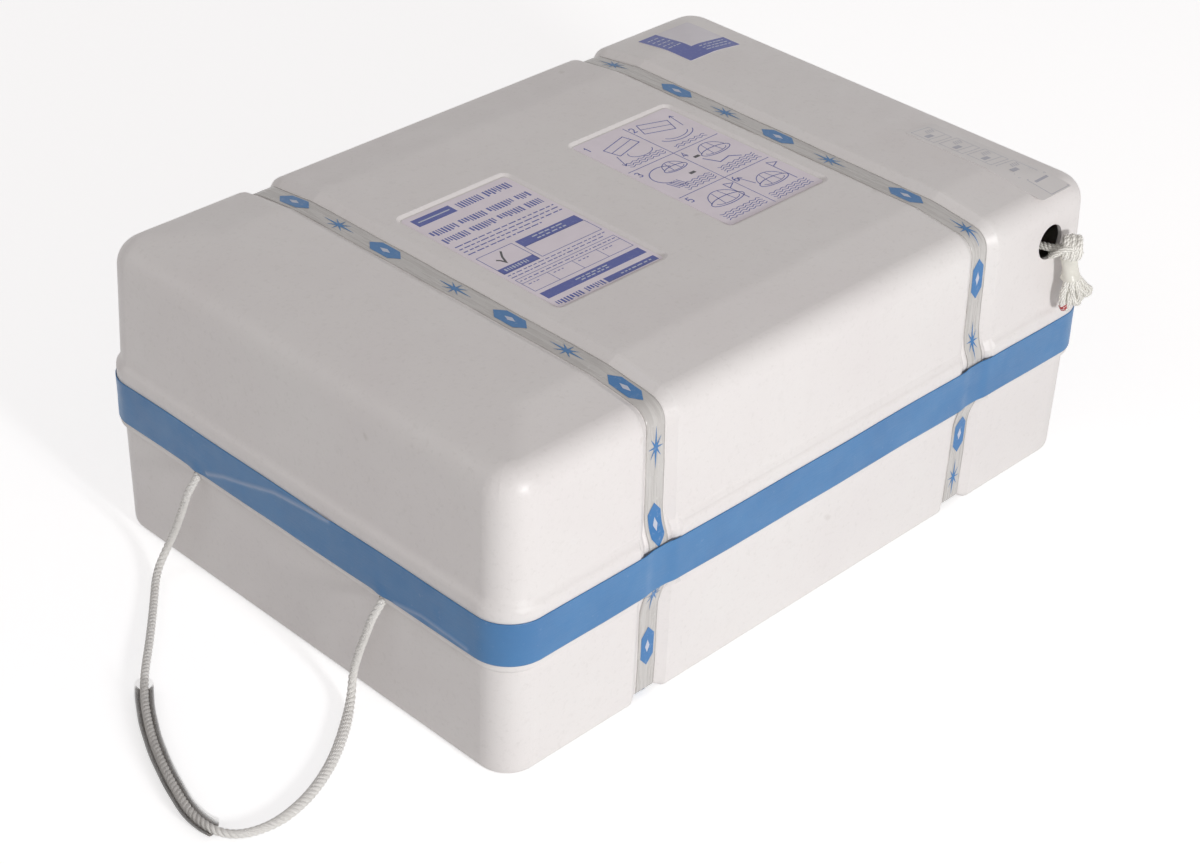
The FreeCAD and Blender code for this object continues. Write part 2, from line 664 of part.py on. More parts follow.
def painter_whipping():
    """Smooth wrapped length, from inside the knot's underside down to the loops."""
    top = hang_point(PAINTER_ROUTE[-1].z)
    length = (hang_point(WHIPPING_BOTTOM) - top).Length
    ends = [vec(WHIPPING_RADIUS, 0, 0), vec(WHIPPING_RADIUS, 0, length)]
    waist = vec(WAIST_RADIUS, 0, length * 0.6)
    profile = Part.Wire([Part.makeLine(vec(0, 0, 0), ends[0]),
                         Part.Arc(ends[0], waist, ends[1]).toShape(),
                         Part.makeLine(ends[1], vec(0, 0, length)),
                         Part.makeLine(vec(0, 0, length), vec(0, 0, 0))])
    solid = Part.Face(profile).revolve(vec(0, 0, 0), Z_AXIS, 360)
    solid.Placement = FreeCAD.Placement(top, FreeCAD.Rotation(Z_AXIS, vec(*TAIL_LEAN)))
    return solid.cut(painter_knot())


def oval(centre, half_length, half_width):
    """Ellipse across the hanging direction, long along the fan."""
    ellipse = Part.Ellipse(vec(0, 0, 0), half_length, half_width)
    wire = Part.Wire([ellipse.toShape()])
    along = vec(*TAIL_LEAN).normalize()
    wide = (TAIL_FAN - along * TAIL_FAN.dot(along)).normalize()
    turn = FreeCAD.Rotation(wide, along.cross(wide), along, "ZXY")
    wire.Placement = FreeCAD.Placement(centre, turn)
    return wire


def painter_tail():
    """Loops of the painter's end, fanned out under the whipping."""
    top = hang_point(WHIPPING_BOTTOM)
    bottom = hang_point(TAIL_BOTTOM)
    side = TAIL_FAN * (TAIL_SPREAD - WHIPPING_RADIUS)
    middle = top + (bottom - top) * 0.45
    return loft([oval(top, WHIPPING_RADIUS + 0.01, WHIPPING_RADIUS),
                 oval(middle + side * 0.3, TAIL_SPREAD * 0.8, TAIL_THICK + 1.0),
                 oval(bottom + side * 0.6, TAIL_SPREAD, TAIL_THICK)])


def painter_coil():
    """Coiled painter that runs out when the canister is thrown."""
    width = (COIL_OUTER - COIL_BORE) / 2.0
    profile = rounded_polygon([vec(COIL_BORE, 0, 0), vec(COIL_BORE + 2.0 * width, 0, 0),
                               vec(COIL_BORE + 2.0 * width, 0, COIL_HEIGHT),
                               vec(COIL_BORE, 0, COIL_HEIGHT)], [COIL_ROUND] * 4)
    coil = Part.Face(profile).revolve(vec(0, 0, 0), Z_AXIS, 360)
    coil.translate(vec(COIL_X, COIL_Y, COIL_BOTTOM))
    return coil


# ---- inflation gear ----------------------------------------------------------------------------------
def turned(points, start, axis):
    """Solid of revolution from (radius, distance) points along an axis."""
    corners = [vec(r, 0, d) for r, d in points]
    corners = [vec(0, 0, points[0][1])] + corners + [vec(0, 0, points[-1][1])]
    solid = Part.Face(Part.makePolygon(corners + corners[:1])).revolve(vec(0, 0, 0), Z_AXIS, 360)
    solid.Placement = FreeCAD.Placement(start, FreeCAD.Rotation(Z_AXIS, axis))
    return solid


def domed_half(length, radius, dome):
    """Half outline of a bottle's dome, from its tip to the straight side."""
    corner = 0.6 * dome
    return [Part.Arc(vec(0, 0, length), vec(radius * 0.62, 0, length - dome * 0.27),
                     vec(radius * 0.92, 0, length - corner)).toShape(),
            Part.makeLine(vec(radius * 0.92, 0, length - corner), vec(radius, 0, length - dome))]


def gas_cylinder():
    half = CYLINDER_LENGTH / 2.0
    dome = domed_half(half, CYLINDER_RADIUS, CYLINDER_DOME)
    side = Part.makeLine(vec(CYLINDER_RADIUS, 0, half - CYLINDER_DOME), vec(CYLINDER_RADIUS, 0, 0))
    profile = Part.Wire(dome + [side, Part.makeLine(vec(CYLINDER_RADIUS, 0, 0), vec(0, 0, 0)),
                                Part.makeLine(vec(0, 0, 0), vec(0, 0, half))])
    body = Part.Face(profile).revolve(vec(0, 0, 0), Z_AXIS, 360)
    body = body.fuse(body.mirror(vec(0, 0, 0), Z_AXIS))
    body = body.fuse(Part.makeCylinder(NECK_RADIUS, CYLINDER_DOME + NECK_LENGTH,
                                       vec(0, 0, half - CYLINDER_DOME)))
    body = body.removeSplitter()
    body.Placement = FreeCAD.Placement(vec(CYLINDER_X, CYLINDER_Y, CYLINDER_Z),
                                       FreeCAD.Rotation(Z_AXIS, X_AXIS))
    return body


def cylinder_strap(x):
    """Webbing round the cylinder, sewn to the front of the packed raft."""
    start = vec(x - STRAP_WIDTH / 2.0, CYLINDER_Y, CYLINDER_Z)
    inner = CYLINDER_RADIUS + CLEARANCE
    tab = Part.makeBox(STRAP_WIDTH, BAG_BACK - CYLINDER_Y, 2.0 * STRAP_THICK,
                       start - vec(0, 0, STRAP_THICK))
    strap = Part.makeCylinder(STRAP_OUTER, STRAP_WIDTH, start, X_AXIS).fuse(tab)
    return strap.cut(Part.makeCylinder(inner, STRAP_WIDTH, start, X_AXIS)).removeSplitter()


def inflation_valve():
    """Firing head on the cylinder's neck, with its hose port towards the raft."""
    ease = 3.0
    head = turned([(VALVE_RADIUS - ease, 0.0), (VALVE_RADIUS, ease),
                   (VALVE_RADIUS, VALVE_LENGTH - ease), (VALVE_RADIUS - ease, VALVE_LENGTH),
                   (VALVE_CAP_RADIUS, VALVE_LENGTH),
                   (VALVE_CAP_RADIUS, VALVE_LENGTH + VALVE_CAP_LENGTH)],
                  vec(VALVE_X, CYLINDER_Y, CYLINDER_Z), X_AXIS)
    port = Part.makeCylinder(PORT_RADIUS, PORT_REACH, vec(PORT_X, CYLINDER_Y, CYLINDER_Z), Y_AXIS)
    return head.fuse(port).removeSplitter()


# From the valve's port to the inlet's barb, each point set from the port's axis.
HOSE_ROUTE = [vec(PORT_X + x, CYLINDER_Y + y, CYLINDER_Z + z) for x, y, z in (
    (0.0, PORT_REACH, 0.0), (0.0, 48.0, 0.0), (-9.0, 63.5, 0.7), (-24.5, 72.5, 2.2),
    (-41.0, 73.6, 4.3), (-59.0, 72.6, 5.7), (-77.0, 72.6, 5.7))]
# From the valve's cap up to the coil.  The third number is a share of that rise.
CABLE_ROUTE = [vec(VALVE_END + x, CYLINDER_Y + y, CYLINDER_Z + (COIL_BOTTOM - CYLINDER_Z) * rise)
               for x, y, rise in (
    (0.0, 0.0, 0.0), (14.0, 0.0, 0.0), (26.0, 1.0, 0.087), (31.0, 2.5, 0.237),
    (30.0, 5.5, 0.477), (32.0, 8.5, 0.717), (31.0, 9.5, 0.877), (31.0, 9.5, 1.0))]


def inflation_hose():
    return cord(HOSE_ROUTE, HOSE, "inflation_hose")


def firing_cable():
    """Cable from the firing head up to the coiled painter."""
    return cord(CABLE_ROUTE, FIRING_CABLE, "firing_cable")


def raft_inlet_valve():
    """Valve on the packed raft's front, its barb turned towards the hose."""
    hose_end = HOSE_ROUTE[-1]
    axis = Y_AXIS * -1.0
    face = vec(INLET_X, PACK_FRONT - CLEARANCE, hose_end.z)
    base = Part.makeCylinder(INLET_FLANGE_RADIUS, INLET_FLANGE_THICK, face, axis)
    body = Part.makeCylinder(INLET_BODY_RADIUS, INLET_FLANGE_THICK + INLET_BODY_LENGTH, face, axis)
    barb = Part.makeCylinder(HOSE / 2.0, hose_end.x - INLET_X, vec(INLET_X, hose_end.y, hose_end.z),
                             X_AXIS)
    return base.fuse([body, barb]).removeSplitter()


# ---- packed raft and its equipment --------------------------------------------------------------------
def rounded_block(low, high, radius):
    """Soft bag: a box with every edge rounded."""
    size = high - low
    block = Part.makeBox(size.x, size.y, size.z, low)
    return block.makeFillet(radius, block.Edges)


def raft_pack():
    """Folded raft: layers that bulge at its long sides, with rounded ends."""
    bottom = RIDGE_TOP + CLEARANCE
    layer = (PACK_TOP - bottom) / PACK_LAYERS
    edges = []
    for y, bulge in ((PACK_FRONT + PACK_BULGE, -PACK_BULGE), (PACK_BACK - PACK_BULGE, PACK_BULGE)):
        for i in range(PACK_LAYERS):
            z = bottom + i * layer
            edges.append(Part.Arc(vec(0, y, z), vec(0, y + bulge, z + layer / 2.0),
                                  vec(0, y, z + layer)).toShape())
    for z in (bottom, PACK_TOP):
        edges.append(Part.makeLine(vec(0, PACK_FRONT + PACK_BULGE, z),
                                   vec(0, PACK_BACK - PACK_BULGE, z)))
    profile = Part.Wire(Part.__sortEdges__(edges))
    profile.translate(vec(-PACK_HALF_LENGTH, 0, 0))
    pack = prism(profile, vec(2.0 * PACK_HALF_LENGTH, 0, 0))
    half_y = (PACK_BACK - PACK_FRONT) / 2.0
    ends = prism(rounded_rect(PACK_HALF_LENGTH, half_y, PACK_ROUND, bottom), Z_AXIS * (PACK_TOP - bottom))
    ends.translate(vec(0, (PACK_BACK + PACK_FRONT) / 2.0, 0))
    return pack.common(ends)


def gear_bag(start, end, top):
    """Bag that lies on the gas cylinder, between the raft and the front wall."""
    return rounded_block(vec(start, BAG_FRONT, SHELF_Z), vec(end, BAG_BACK, top), BAG_ROUND)


def bellows_pump():
    """Hand bellows: pleated skin between two plates, with an outlet nozzle."""
    height = BELLOWS_PLEATS * BELLOWS_PITCH
    points = [(BELLOWS_RADIUS, 0.0), (BELLOWS_RADIUS, BELLOWS_PLATE)]
    for i in range(BELLOWS_PLEATS):
        z = BELLOWS_PLATE + i * BELLOWS_PITCH
        points.append((BELLOWS_RADIUS - BELLOWS_FOLD, z))
        points.append((BELLOWS_RADIUS - 2.0, z + BELLOWS_PITCH / 2.0))
    points.append((BELLOWS_RADIUS - BELLOWS_FOLD, BELLOWS_PLATE + height))
    points.append((BELLOWS_RADIUS, BELLOWS_PLATE + height))
    points.append((BELLOWS_RADIUS, 2.0 * BELLOWS_PLATE + height))
    base = vec(BELLOWS_X, CYLINDER_Y + BELLOWS_INWARD, SHELF_Z)
    body = turned(points, base, Z_AXIS)
    nozzle_z = BELLOWS_PLATE + height - BELLOWS_PITCH
    nozzle = Part.makeCylinder(NOZZLE_RADIUS, NOZZLE_REACH, base + vec(0, 0, nozzle_z), X_AXIS)
    return body.fuse(nozzle).removeSplitter()


def paddle(share, direction):
    """Short paddle laid flat on the packed raft, its blade at the end named."""
    y = PACK_FRONT + (PACK_BACK - PACK_FRONT) * share
    axis_z = PACK_TOP + CLEARANCE + HANDLE_RADIUS
    half = PADDLE_LENGTH / 2.0
    start = HANDLE_RADIUS - half
    shaft = Part.makeCylinder(SHAFT_RADIUS, PADDLE_LENGTH - BLADE_LENGTH * 0.35,
                              vec(start, 0, 0), X_AXIS)
    grip = Part.makeCylinder(HANDLE_RADIUS, HANDLE_LENGTH,
                             vec(start, -HANDLE_LENGTH / 2.0, 0), Y_AXIS)
    wide, narrow = BLADE_WIDTH / 2.0, BLADE_NECK / 2.0
    throat = half - BLADE_LENGTH
    outline = rounded_polygon([vec(throat, -narrow, 0), vec(throat + 0.4 * BLADE_LENGTH, -wide, 0),
                               vec(half, -wide, 0), vec(half, wide, 0),
                               vec(throat + 0.4 * BLADE_LENGTH, wide, 0), vec(throat, narrow, 0)],
                              [BLADE_ROOT, BLADE_FLARE, BLADE_CORNER, BLADE_CORNER,
                               BLADE_FLARE, BLADE_ROOT])
    outline.translate(vec(0, 0, -BLADE_THICK / 2.0))
    blade = prism(outline, Z_AXIS * BLADE_THICK)
    body = shaft.fuse([grip, blade]).removeSplitter()
    if direction < 0:
        body.rotate(vec(0, 0, 0), Z_AXIS, 180)
    body.translate(vec(0, y, axis_z))
    return body


save(upper_shell(), "upper_shell")
save(lower_shell(), "lower_shell")
save(seam_gasket(), "seam_gasket")
save(seam_tape(), "seam_tape")
save(strap_tape(-GROOVE_X), "strap_tape_left")
save(strap_tape(GROOVE_X), "strap_tape_right")
save(recess_label(-RECESS_X), "data_label")
save(recess_label(RECESS_X), "instruction_label")
save(corner_label(), "corner_label")
save(strip_label(), "strip_label")
save(handle_rope(), "handle_rope")
save(handle_knot(ROPE_EXIT_Y[0]), "handle_knot_back")
save(handle_knot(ROPE_EXIT_Y[1]), "handle_knot_front")
save(handle_grip(), "handle_grip")
save(painter_line(), "painter_line")
save(painter_knot(), "painter_knot")
save(painter_whipping(), "painter_whipping")
save(painter_tail(), "painter_tail")
save(painter_coil(), "painter_coil")
save(gas_cylinder(), "gas_cylinder")
for strap_x, strap_name in zip(STRAP_X, ("left", "middle", "right")):
    save(cylinder_strap(strap_x), "cylinder_strap_" + strap_name)
save(inflation_valve(), "inflation_valve")
save(inflation_hose(), "inflation_hose")
save(raft_inlet_valve(), "raft_inlet_valve")
save(firing_cable(), "firing_cable")
save(raft_pack(), "raft_pack")
save(gear_bag(ANCHOR_BAG_START, HALF_X - ANCHOR_BAG_FROM_END, ANCHOR_BAG_TOP), "sea_anchor_bag")
save(gear_bag(EMERGENCY_BAG_FROM_END - HALF_X, EMERGENCY_BAG_START,
              HEIGHT - EMERGENCY_BAG_FROM_TOP), "emergency_bag")
save(bellows_pump(), "bellows_pump")
save(paddle(PADDLE_SHARES[0], 1), "paddle_left")
save(paddle(PADDLE_SHARES[1], -1), "paddle_right")
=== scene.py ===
"""Looks of a liferaft canister: a white two-part casing, taped shut, with a rope handle and a painter."""
import math

import bpy
import numpy as np
from mathutils import Matrix, Vector


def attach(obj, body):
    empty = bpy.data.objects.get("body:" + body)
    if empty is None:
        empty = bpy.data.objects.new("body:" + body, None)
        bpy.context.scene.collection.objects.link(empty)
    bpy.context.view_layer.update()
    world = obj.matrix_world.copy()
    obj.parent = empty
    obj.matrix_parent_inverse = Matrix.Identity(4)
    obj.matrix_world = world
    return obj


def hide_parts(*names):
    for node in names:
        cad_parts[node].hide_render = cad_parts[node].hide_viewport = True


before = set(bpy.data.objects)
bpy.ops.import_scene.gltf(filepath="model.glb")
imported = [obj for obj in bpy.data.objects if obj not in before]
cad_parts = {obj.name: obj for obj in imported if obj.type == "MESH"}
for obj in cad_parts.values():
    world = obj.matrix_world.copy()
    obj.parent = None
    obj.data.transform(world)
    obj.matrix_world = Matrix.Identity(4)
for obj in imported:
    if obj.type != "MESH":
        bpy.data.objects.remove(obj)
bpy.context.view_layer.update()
MM = 0.001


# ---- mesh helpers ----
def link(obj):
    bpy.context.scene.collection.objects.link(obj)
    return obj


def mesh_object(name, verts, faces, smooth=True):
    """Mesh object from points in millimetres."""
    data = bpy.data.meshes.new(name)
    data.from_pydata([tuple(float(c) * MM for c in v) for v in verts], [], faces)
    data.validate()
    if smooth:
        data.polygons.foreach_set("use_smooth", [True] * len(data.polygons))
    data.update()
    return link(bpy.data.objects.new(name, data))


def grid_faces(rows, cols, closed_rows=False, closed_cols=False, start=0):
    """Quads of a grid whose points are stored row by row."""
    faces = []
    for r in range(rows if closed_rows else rows - 1):
        for c in range(cols if closed_cols else cols - 1):
            r2, c2 = (r + 1) % rows, (c + 1) % cols
            faces.append((start + r * cols + c, start + r * cols + c2,
                          start + r2 * cols + c2, start + r2 * cols + c))
    return faces


def nurbs(name, points):
    """Curve whose control points are the route's points, in millimetres."""
    data = bpy.data.curves.new(name, "CURVE")
    data.dimensions = "3D"
    data.resolution_u = 24
    spline = data.splines.new("NURBS")
    spline.points.add(len(points) - 1)
    for point, place in zip(spline.points, points):
        point.co = (*[c * MM for c in place], 1.0)
    spline.order_u = 3
    spline.use_endpoint_u = True
    return link(bpy.data.objects.new(name, data))


def line_of(curve):
    """Points of the curve's own line, in millimetres."""
    graph = bpy.context.evaluated_depsgraph_get()
    mesh = bpy.data.meshes.new_from_object(curve.evaluated_get(graph))
    points = np.array([v.co[:] for v in mesh.vertices]) / MM
    bpy.data.meshes.remove(mesh)
    return points


def unit(vectors):
    """The same vectors with a length of 1."""
    return vectors / np.linalg.norm(vectors, axis=-1, keepdims=True)


def distances(points):
    """Distance along a line to each of its points."""
    runs = np.linalg.norm(np.diff(points, axis=0), axis=1)
    return np.concatenate([[0.0], np.cumsum(runs)])


def points_at(where, along, points):
    """Points of a line at some distances along it."""
    return np.stack([np.interp(where, along, column) for column in points.T], -1)


def resample(points, step):
    """The same line with even spacing, and the distance along it to each point."""
    along = distances(points)
    at = np.linspace(0.0, along[-1], max(int(round(along[-1] / step)), 2) + 1)
    return points_at(at, along, points), at


def frames_along(points):
    """Two cross directions at each point of a line, without twist."""
    tangents = unit(np.gradient(points, axis=0))
    start = np.cross(tangents[0], (0.0, 0.0, 1.0))
    if np.linalg.norm(start) < 0.1:
        start = np.cross(tangents[0], (1.0, 0.0, 0.0))
    first = [unit(start)]
    for tangent in tangents[1:]:
        first.append(unit(first[-1] - tangent * np.dot(first[-1], tangent)))
    first = np.array(first)
    return first, np.cross(tangents, first)


def circle(count):
    """Angles evenly round a circle."""
    return np.linspace(0.0, 2.0 * math.pi, count, endpoint=False)


def tube_rows(points, radii, around):
    """Rings of points round a line. radii has one number per ring, or one per ring and point."""
    first, second = frames_along(points)
    angle = circle(around)[None, :, None]
    radii = np.asarray(radii, float)
    if radii.ndim == 1:
        radii = radii[:, None]
    return points[:, None, :] + radii[..., None] * (
        np.cos(angle) * first[:, None, :] + np.sin(angle) * second[:, None, :])


def tube_object(name, tubes):
    """Mesh of closed tubes, each from its rings of points."""
    verts, faces = [], []
    for rows in tubes:
        count, around = rows.shape[:2]
        start = len(verts)
        verts.extend(rows.reshape(-1, 3))
        faces.extend(grid_faces(count, around, closed_cols=True, start=start))
        for ring, flip in ((0, True), (count - 1, False)):
            centre = len(verts)
            verts.append(rows[ring].mean(0))
            for c in range(around):
                a, b = start + ring * around + c, start + ring * around + (c + 1) % around
                faces.append((centre, b, a) if flip else (centre, a, b))
    return mesh_object(name, verts, faces)


# ---- sizes of the casing, in millimetres ----
HALF_X, HALF_Y, HEIGHT = 375.0, 260.0, 298.0
FLANGE_CORNER = 35.0
TAPE_LOW, TAPE_HIGH, TAPE_THICK = 118.5, 159.5, 0.8
GROOVE_X, GROOVE_DEPTH = 205.0, 6.0
STRAP_HALF, STRAP_THICK = 10.5, 0.6
CROWN_X, CROWN_Y = 291.0, 182.5
CROWN_SLOPE = math.tan(math.radians(7.0))
CROWN_EASE = 5.5
LABEL_TOP = 295.9
FILM = 0.4  # thickness of the two labels on the crown
PRINT_LIFT, PRINT_THICK = 0.03, 0.05
OVERPRINT = 0.07  # height of pale print over the print under it
FLANGE_RISE = 3.4  # lift of a girth tape over the flange
ROPE_MOUTHS = (127.0, -114.0)  # y of the handle's two holes


def smooth_step(value, low, high):
    t = np.clip((value - low) / (high - low), 0.0, 1.0)
    return t * t * (3.0 - 2.0 * t)


def crown_z(x, y):
    """Height of the hipped top."""
    drop = 0.0
    for beyond in (abs(x) - CROWN_X, abs(y) - CROWN_Y):
        if beyond > CROWN_EASE:
            fall = beyond * CROWN_SLOPE
        else:
            fall = max(beyond + CROWN_EASE, 0.0) ** 2 * CROWN_SLOPE / (4.0 * CROWN_EASE)
        drop = max(drop, fall)
    return HEIGHT - drop


# ---- materials ----
class Nodes:
    """A material's node tree, with short names for what is added often."""

    def __init__(self, name, colour=(0.8, 0.8, 0.8), roughness=0.5, **settings):
        self.material = bpy.data.materials.new(name)
        self.material.use_nodes = True
        self.tree = self.material.node_tree
        self.shader = self.tree.nodes["Principled BSDF"]
        self.shader.inputs["Base Color"].default_value = (*colour, 1.0)
        self.shader.inputs["Roughness"].default_value = roughness
        for key, value in settings.items():
            self.shader.inputs[key.replace("_", " ")].default_value = value
        self.coords = self.add("ShaderNodeTexCoord").outputs["Object"]

    def add(self, kind, inputs=(), **settings):
        """New node, with what goes into its inputs by name or number."""
        node = self.tree.nodes.new(kind)
        for key, value in settings.items():
            setattr(node, key, value)
        for key, value in dict(inputs).items():
            self.feed(value, node.inputs[key])
        return node

    def feed(self, value, socket):
        """A number, a colour or another node's output into a socket."""
        if isinstance(value, tuple):
            socket.default_value = (*value, 1.0)
        elif isinstance(value, (int, float)):
            socket.default_value = value
        else:
            self.tree.links.new(value, socket)

    def math(self, operation, *values):
        return self.add("ShaderNodeMath", enumerate(values), operation=operation).outputs[0]

    def noise(self, scale, detail=3.0, roughness=0.55, vector=None):
        inputs = {"Scale": scale, "Detail": detail, "Roughness": roughness, "Vector": vector or self.coords}
        return self.add("ShaderNodeTexNoise", inputs).outputs["Fac"]

    def spread(self, value, low, high, out_low=0.0, out_high=1.0):
        inputs = {"Value": value, "From Min": low, "From Max": high, "To Min": out_low, "To Max": out_high}
        return self.add("ShaderNodeMapRange", inputs, clamp=True).outputs[0]

    def flecks(self, scale, detail, roughness, low, high, strength):
        """Noise that shows only between two of its values, up to a strength."""
        return self.spread(self.noise(scale, detail, roughness), low, high, 0.0, strength)

    def mix(self, factor, first, second):
        return self.add("ShaderNodeMix", {0: factor, 6: first, 7: second}, data_type="RGBA").outputs[2]

    def colour(self, value):
        self.feed(value, self.shader.inputs["Base Color"])

    def rough(self, value):
        self.feed(value, self.shader.inputs["Roughness"])

    def stretched(self, scale):
        """Object coordinates, scaled by a different number on each axis."""
        node = self.add("ShaderNodeMapping", {"Vector": self.coords})
        node.inputs["Scale"].default_value = scale
        return node.outputs["Vector"]

    def bump(self, height, distance):
        node = self.add("ShaderNodeBump", {"Distance": distance, "Strength": 1.0, "Height": height})
        if self.shader.inputs["Normal"].is_linked:
            self.feed(self.shader.inputs["Normal"].links[0].from_socket, node.inputs["Normal"])
        self.feed(node.outputs["Normal"], self.shader.inputs["Normal"])


def dress(target, material):
    target.data.materials.clear()
    target.data.materials.append(material)


def plastic_shell():
    """Off-white moulded plastic with a fine grain, faint mottling and a few specks."""
    n = Nodes("moulded_white", (0.80, 0.785, 0.765), 0.42)
    tone = n.mix(n.spread(n.noise(6.0, 4.0, 0.6), 0.35, 0.7), (0.815, 0.79, 0.775), (0.79, 0.755, 0.745))
    tone = n.mix(n.flecks(240.0, 3.0, 0.6, 0.56, 0.74, 0.22), tone, (0.60, 0.575, 0.55))
    tone = n.mix(n.flecks(85.0, 4.0, 0.7, 0.58, 0.72, 0.13), tone, (0.60, 0.57, 0.55))
    tone = n.mix(n.flecks(38.0, 2.0, 0.5, 0.74, 0.80, 0.30), tone, (0.50, 0.46, 0.42))
    n.colour(tone)
    n.rough(n.spread(n.noise(45.0), 0.3, 0.75, 0.38, 0.52))
    n.bump(n.noise(700.0, 2.0, 0.6), 0.00008)
    n.bump(n.noise(60.0, 2.0, 0.5), 0.0002)
    return n.material


def plain(name, colour, roughness=0.5, scale=300.0, depth=0.0001, vary=0.12, **settings):
    """Even colour with slight darker clouds, and grain of the scale and depth given."""
    n = Nodes(name, colour, roughness, **settings)
    dark = tuple(c * (1.0 - vary) for c in colour)
    n.colour(n.mix(n.spread(n.noise(scale / 8.0), 0.35, 0.65), dark, colour))
    smooth, dull = max(roughness - 0.07, 0.02), min(roughness + 0.07, 1.0)
    n.rough(n.spread(n.noise(scale / 3.0), 0.3, 0.7, smooth, dull))
    n.bump(n.noise(scale), depth)
    return n.material


def vinyl_tape():
    """Blue adhesive tape: satin, with fine stretch lines along it, small scuffs, and a painted highlight
    along its creases.
    """
    n = Nodes("blue_vinyl", (0.085, 0.21, 0.44), 0.38)
    tone = n.mix(n.spread(n.noise(14.0, 4.0, 0.6), 0.35, 0.65), (0.058, 0.192, 0.415), (0.068, 0.218, 0.455))
    tone = n.mix(n.flecks(150.0, 3.0, 0.65, 0.66, 0.75, 0.35), tone, (0.20, 0.32, 0.52))
    crease_ridge = n.add("ShaderNodeAttribute", attribute_name="crease_ridge")
    # painted highlight: the creases' ridge height mixes a pale blue in along them
    n.colour(n.mix(n.math("MULTIPLY", crease_ridge.outputs["Fac"], 0.55), tone, (0.42, 0.50, 0.66)))
    n.rough(n.spread(n.noise(70.0), 0.3, 0.7, 0.30, 0.46))
    n.bump(n.noise(60.0, 3.0, 0.6, vector=n.stretched((1.0, 1.0, 14.0))), 0.0002)
    n.bump(n.noise(500.0, 2.0, 0.5), 0.00004)
    return n.material


def clear_strap():
    """Clear tape that has gone grey, with streaks and small bubbles along it."""
    n = Nodes("clear_strap", (0.52, 0.505, 0.49), 0.28)
    streak = n.noise(16.0, 4.0, 0.6, vector=n.stretched((14.0, 1.0, 1.0)))
    tone = n.mix(n.spread(streak, 0.34, 0.66), (0.50, 0.48, 0.46), (0.60, 0.585, 0.565))
    n.colour(n.mix(n.flecks(190.0, 3.0, 0.6, 0.64, 0.74, 0.5), tone, (0.70, 0.69, 0.67)))
    n.rough(n.spread(streak, 0.3, 0.7, 0.20, 0.36))
    n.bump(streak, 0.00007)
    n.bump(n.noise(160.0, 3.0, 0.6), 0.00005)
    return n.material


def paper_label():
    """Lavender label film with faint clouds and a slight waviness."""
    n = Nodes("label_film", (0.83, 0.76, 0.83), 0.36)
    n.colour(n.mix(n.spread(n.noise(40.0, 3.0), 0.35, 0.7), (0.85, 0.775, 0.845), (0.81, 0.74, 0.805)))
    n.rough(n.spread(n.noise(80.0), 0.3, 0.7, 0.3, 0.42))
    n.bump(n.noise(35.0, 2.0), 0.0002)
    return n.material


def ink(name, colour, worn=0.25):
    """Print: a colour with small gaps where it has rubbed thin."""
    n = Nodes(name, colour, 0.4)
    pale = tuple(c + (0.7 - c) * 0.45 for c in colour)
    n.colour(n.mix(n.flecks(260.0, 3.0, 0.65, 0.55, 0.72, worn), colour, pale))
    n.bump(n.noise(500.0), 0.00003)
    return n.material


def laid_fibre(name, colour, shade, gloss, yarns=5.0, run=7.0, depth=0.55):
    """Rope strands: yarns that wind round each strand, with painted shade in the grooves between them, and a
    few soiled flecks.
    """
    n = Nodes(name, colour, gloss)
    lay = n.add("ShaderNodeAttribute", attribute_name="lay")
    split = n.add("ShaderNodeSeparateXYZ", {0: lay.outputs["Vector"]})
    angle = n.math("ARCTAN2", split.outputs[1], split.outputs[0])
    advance = n.math("MULTIPLY", split.outputs[2], 4.0 * math.pi / run)
    ridge = n.math("ABSOLUTE", n.math("SINE", n.math("ADD", n.math("MULTIPLY", angle, yarns), advance)))
    soil = n.flecks(90.0, 3.0, 0.6, 0.45, 0.75, 0.45)
    # painted shade: the grooves between the yarns take the shade colour
    tone = n.mix(n.math("MULTIPLY", n.spread(ridge, 0.0, 0.55, 1.0, 0.0), depth), colour, shade)
    n.colour(n.mix(soil, tone, tuple(0.5 * (a + b) for a, b in zip(colour, shade))))
    n.rough(n.spread(n.noise(400.0), 0.3, 0.7, gloss - 0.08, gloss + 0.08))
    n.bump(ridge, 0.0004)
    n.bump(n.noise(1800.0, 2.0), 0.0001)
    return n.material


def hazy_hose():
    """Clear hose gone cloudy, its lower half painted dark and nearly opaque as painted shade from the ground
    under it: the rope shows inside.
    """
    n = Nodes("hazy_hose", (0.22, 0.20, 0.18), 0.24)
    low = n.add("ShaderNodeAttribute", attribute_name="low").outputs["Fac"]
    tone = n.mix(n.spread(n.noise(60.0, 3.0), 0.35, 0.7), (0.42, 0.40, 0.38), (0.30, 0.28, 0.26))
    # painted shade: the lower half becomes dark and nearly opaque
    n.colour(n.mix(low, tone, (0.21, 0.19, 0.17)))
    clear = n.spread(n.noise(45.0, 3.0, 0.6), 0.35, 0.7, 0.08, 0.18)
    n.feed(n.math("MAXIMUM", clear, n.math("MULTIPLY", low, 0.82)), n.shader.inputs["Alpha"])
    n.rough(n.spread(n.noise(120.0), 0.3, 0.7, 0.14, 0.30))
    n.bump(n.noise(150.0, 3.0), 0.0002)
    return n.material


shell_white = plastic_shell()
blue_tape = vinyl_tape()
clear_tape = clear_strap()
label_film = paper_label()
thin_film = plain("thin_film", (0.785, 0.76, 0.75), 0.40, 200.0, 0.00005, 0.03)
tinted_film = plain("tinted_film", (0.735, 0.705, 0.75), 0.40, 200.0, 0.00005, 0.03)
label_ink = ink("label_ink", (0.060, 0.085, 0.36))
strap_ink = ink("strap_ink", (0.042, 0.185, 0.44), 0.35)
pale_ink = ink("pale_ink", (0.55, 0.58, 0.68))
faint_ink = ink("faint_ink", (0.45, 0.45, 0.51), 0.5)
dark_ink = ink("dark_ink", (0.03, 0.028, 0.035))
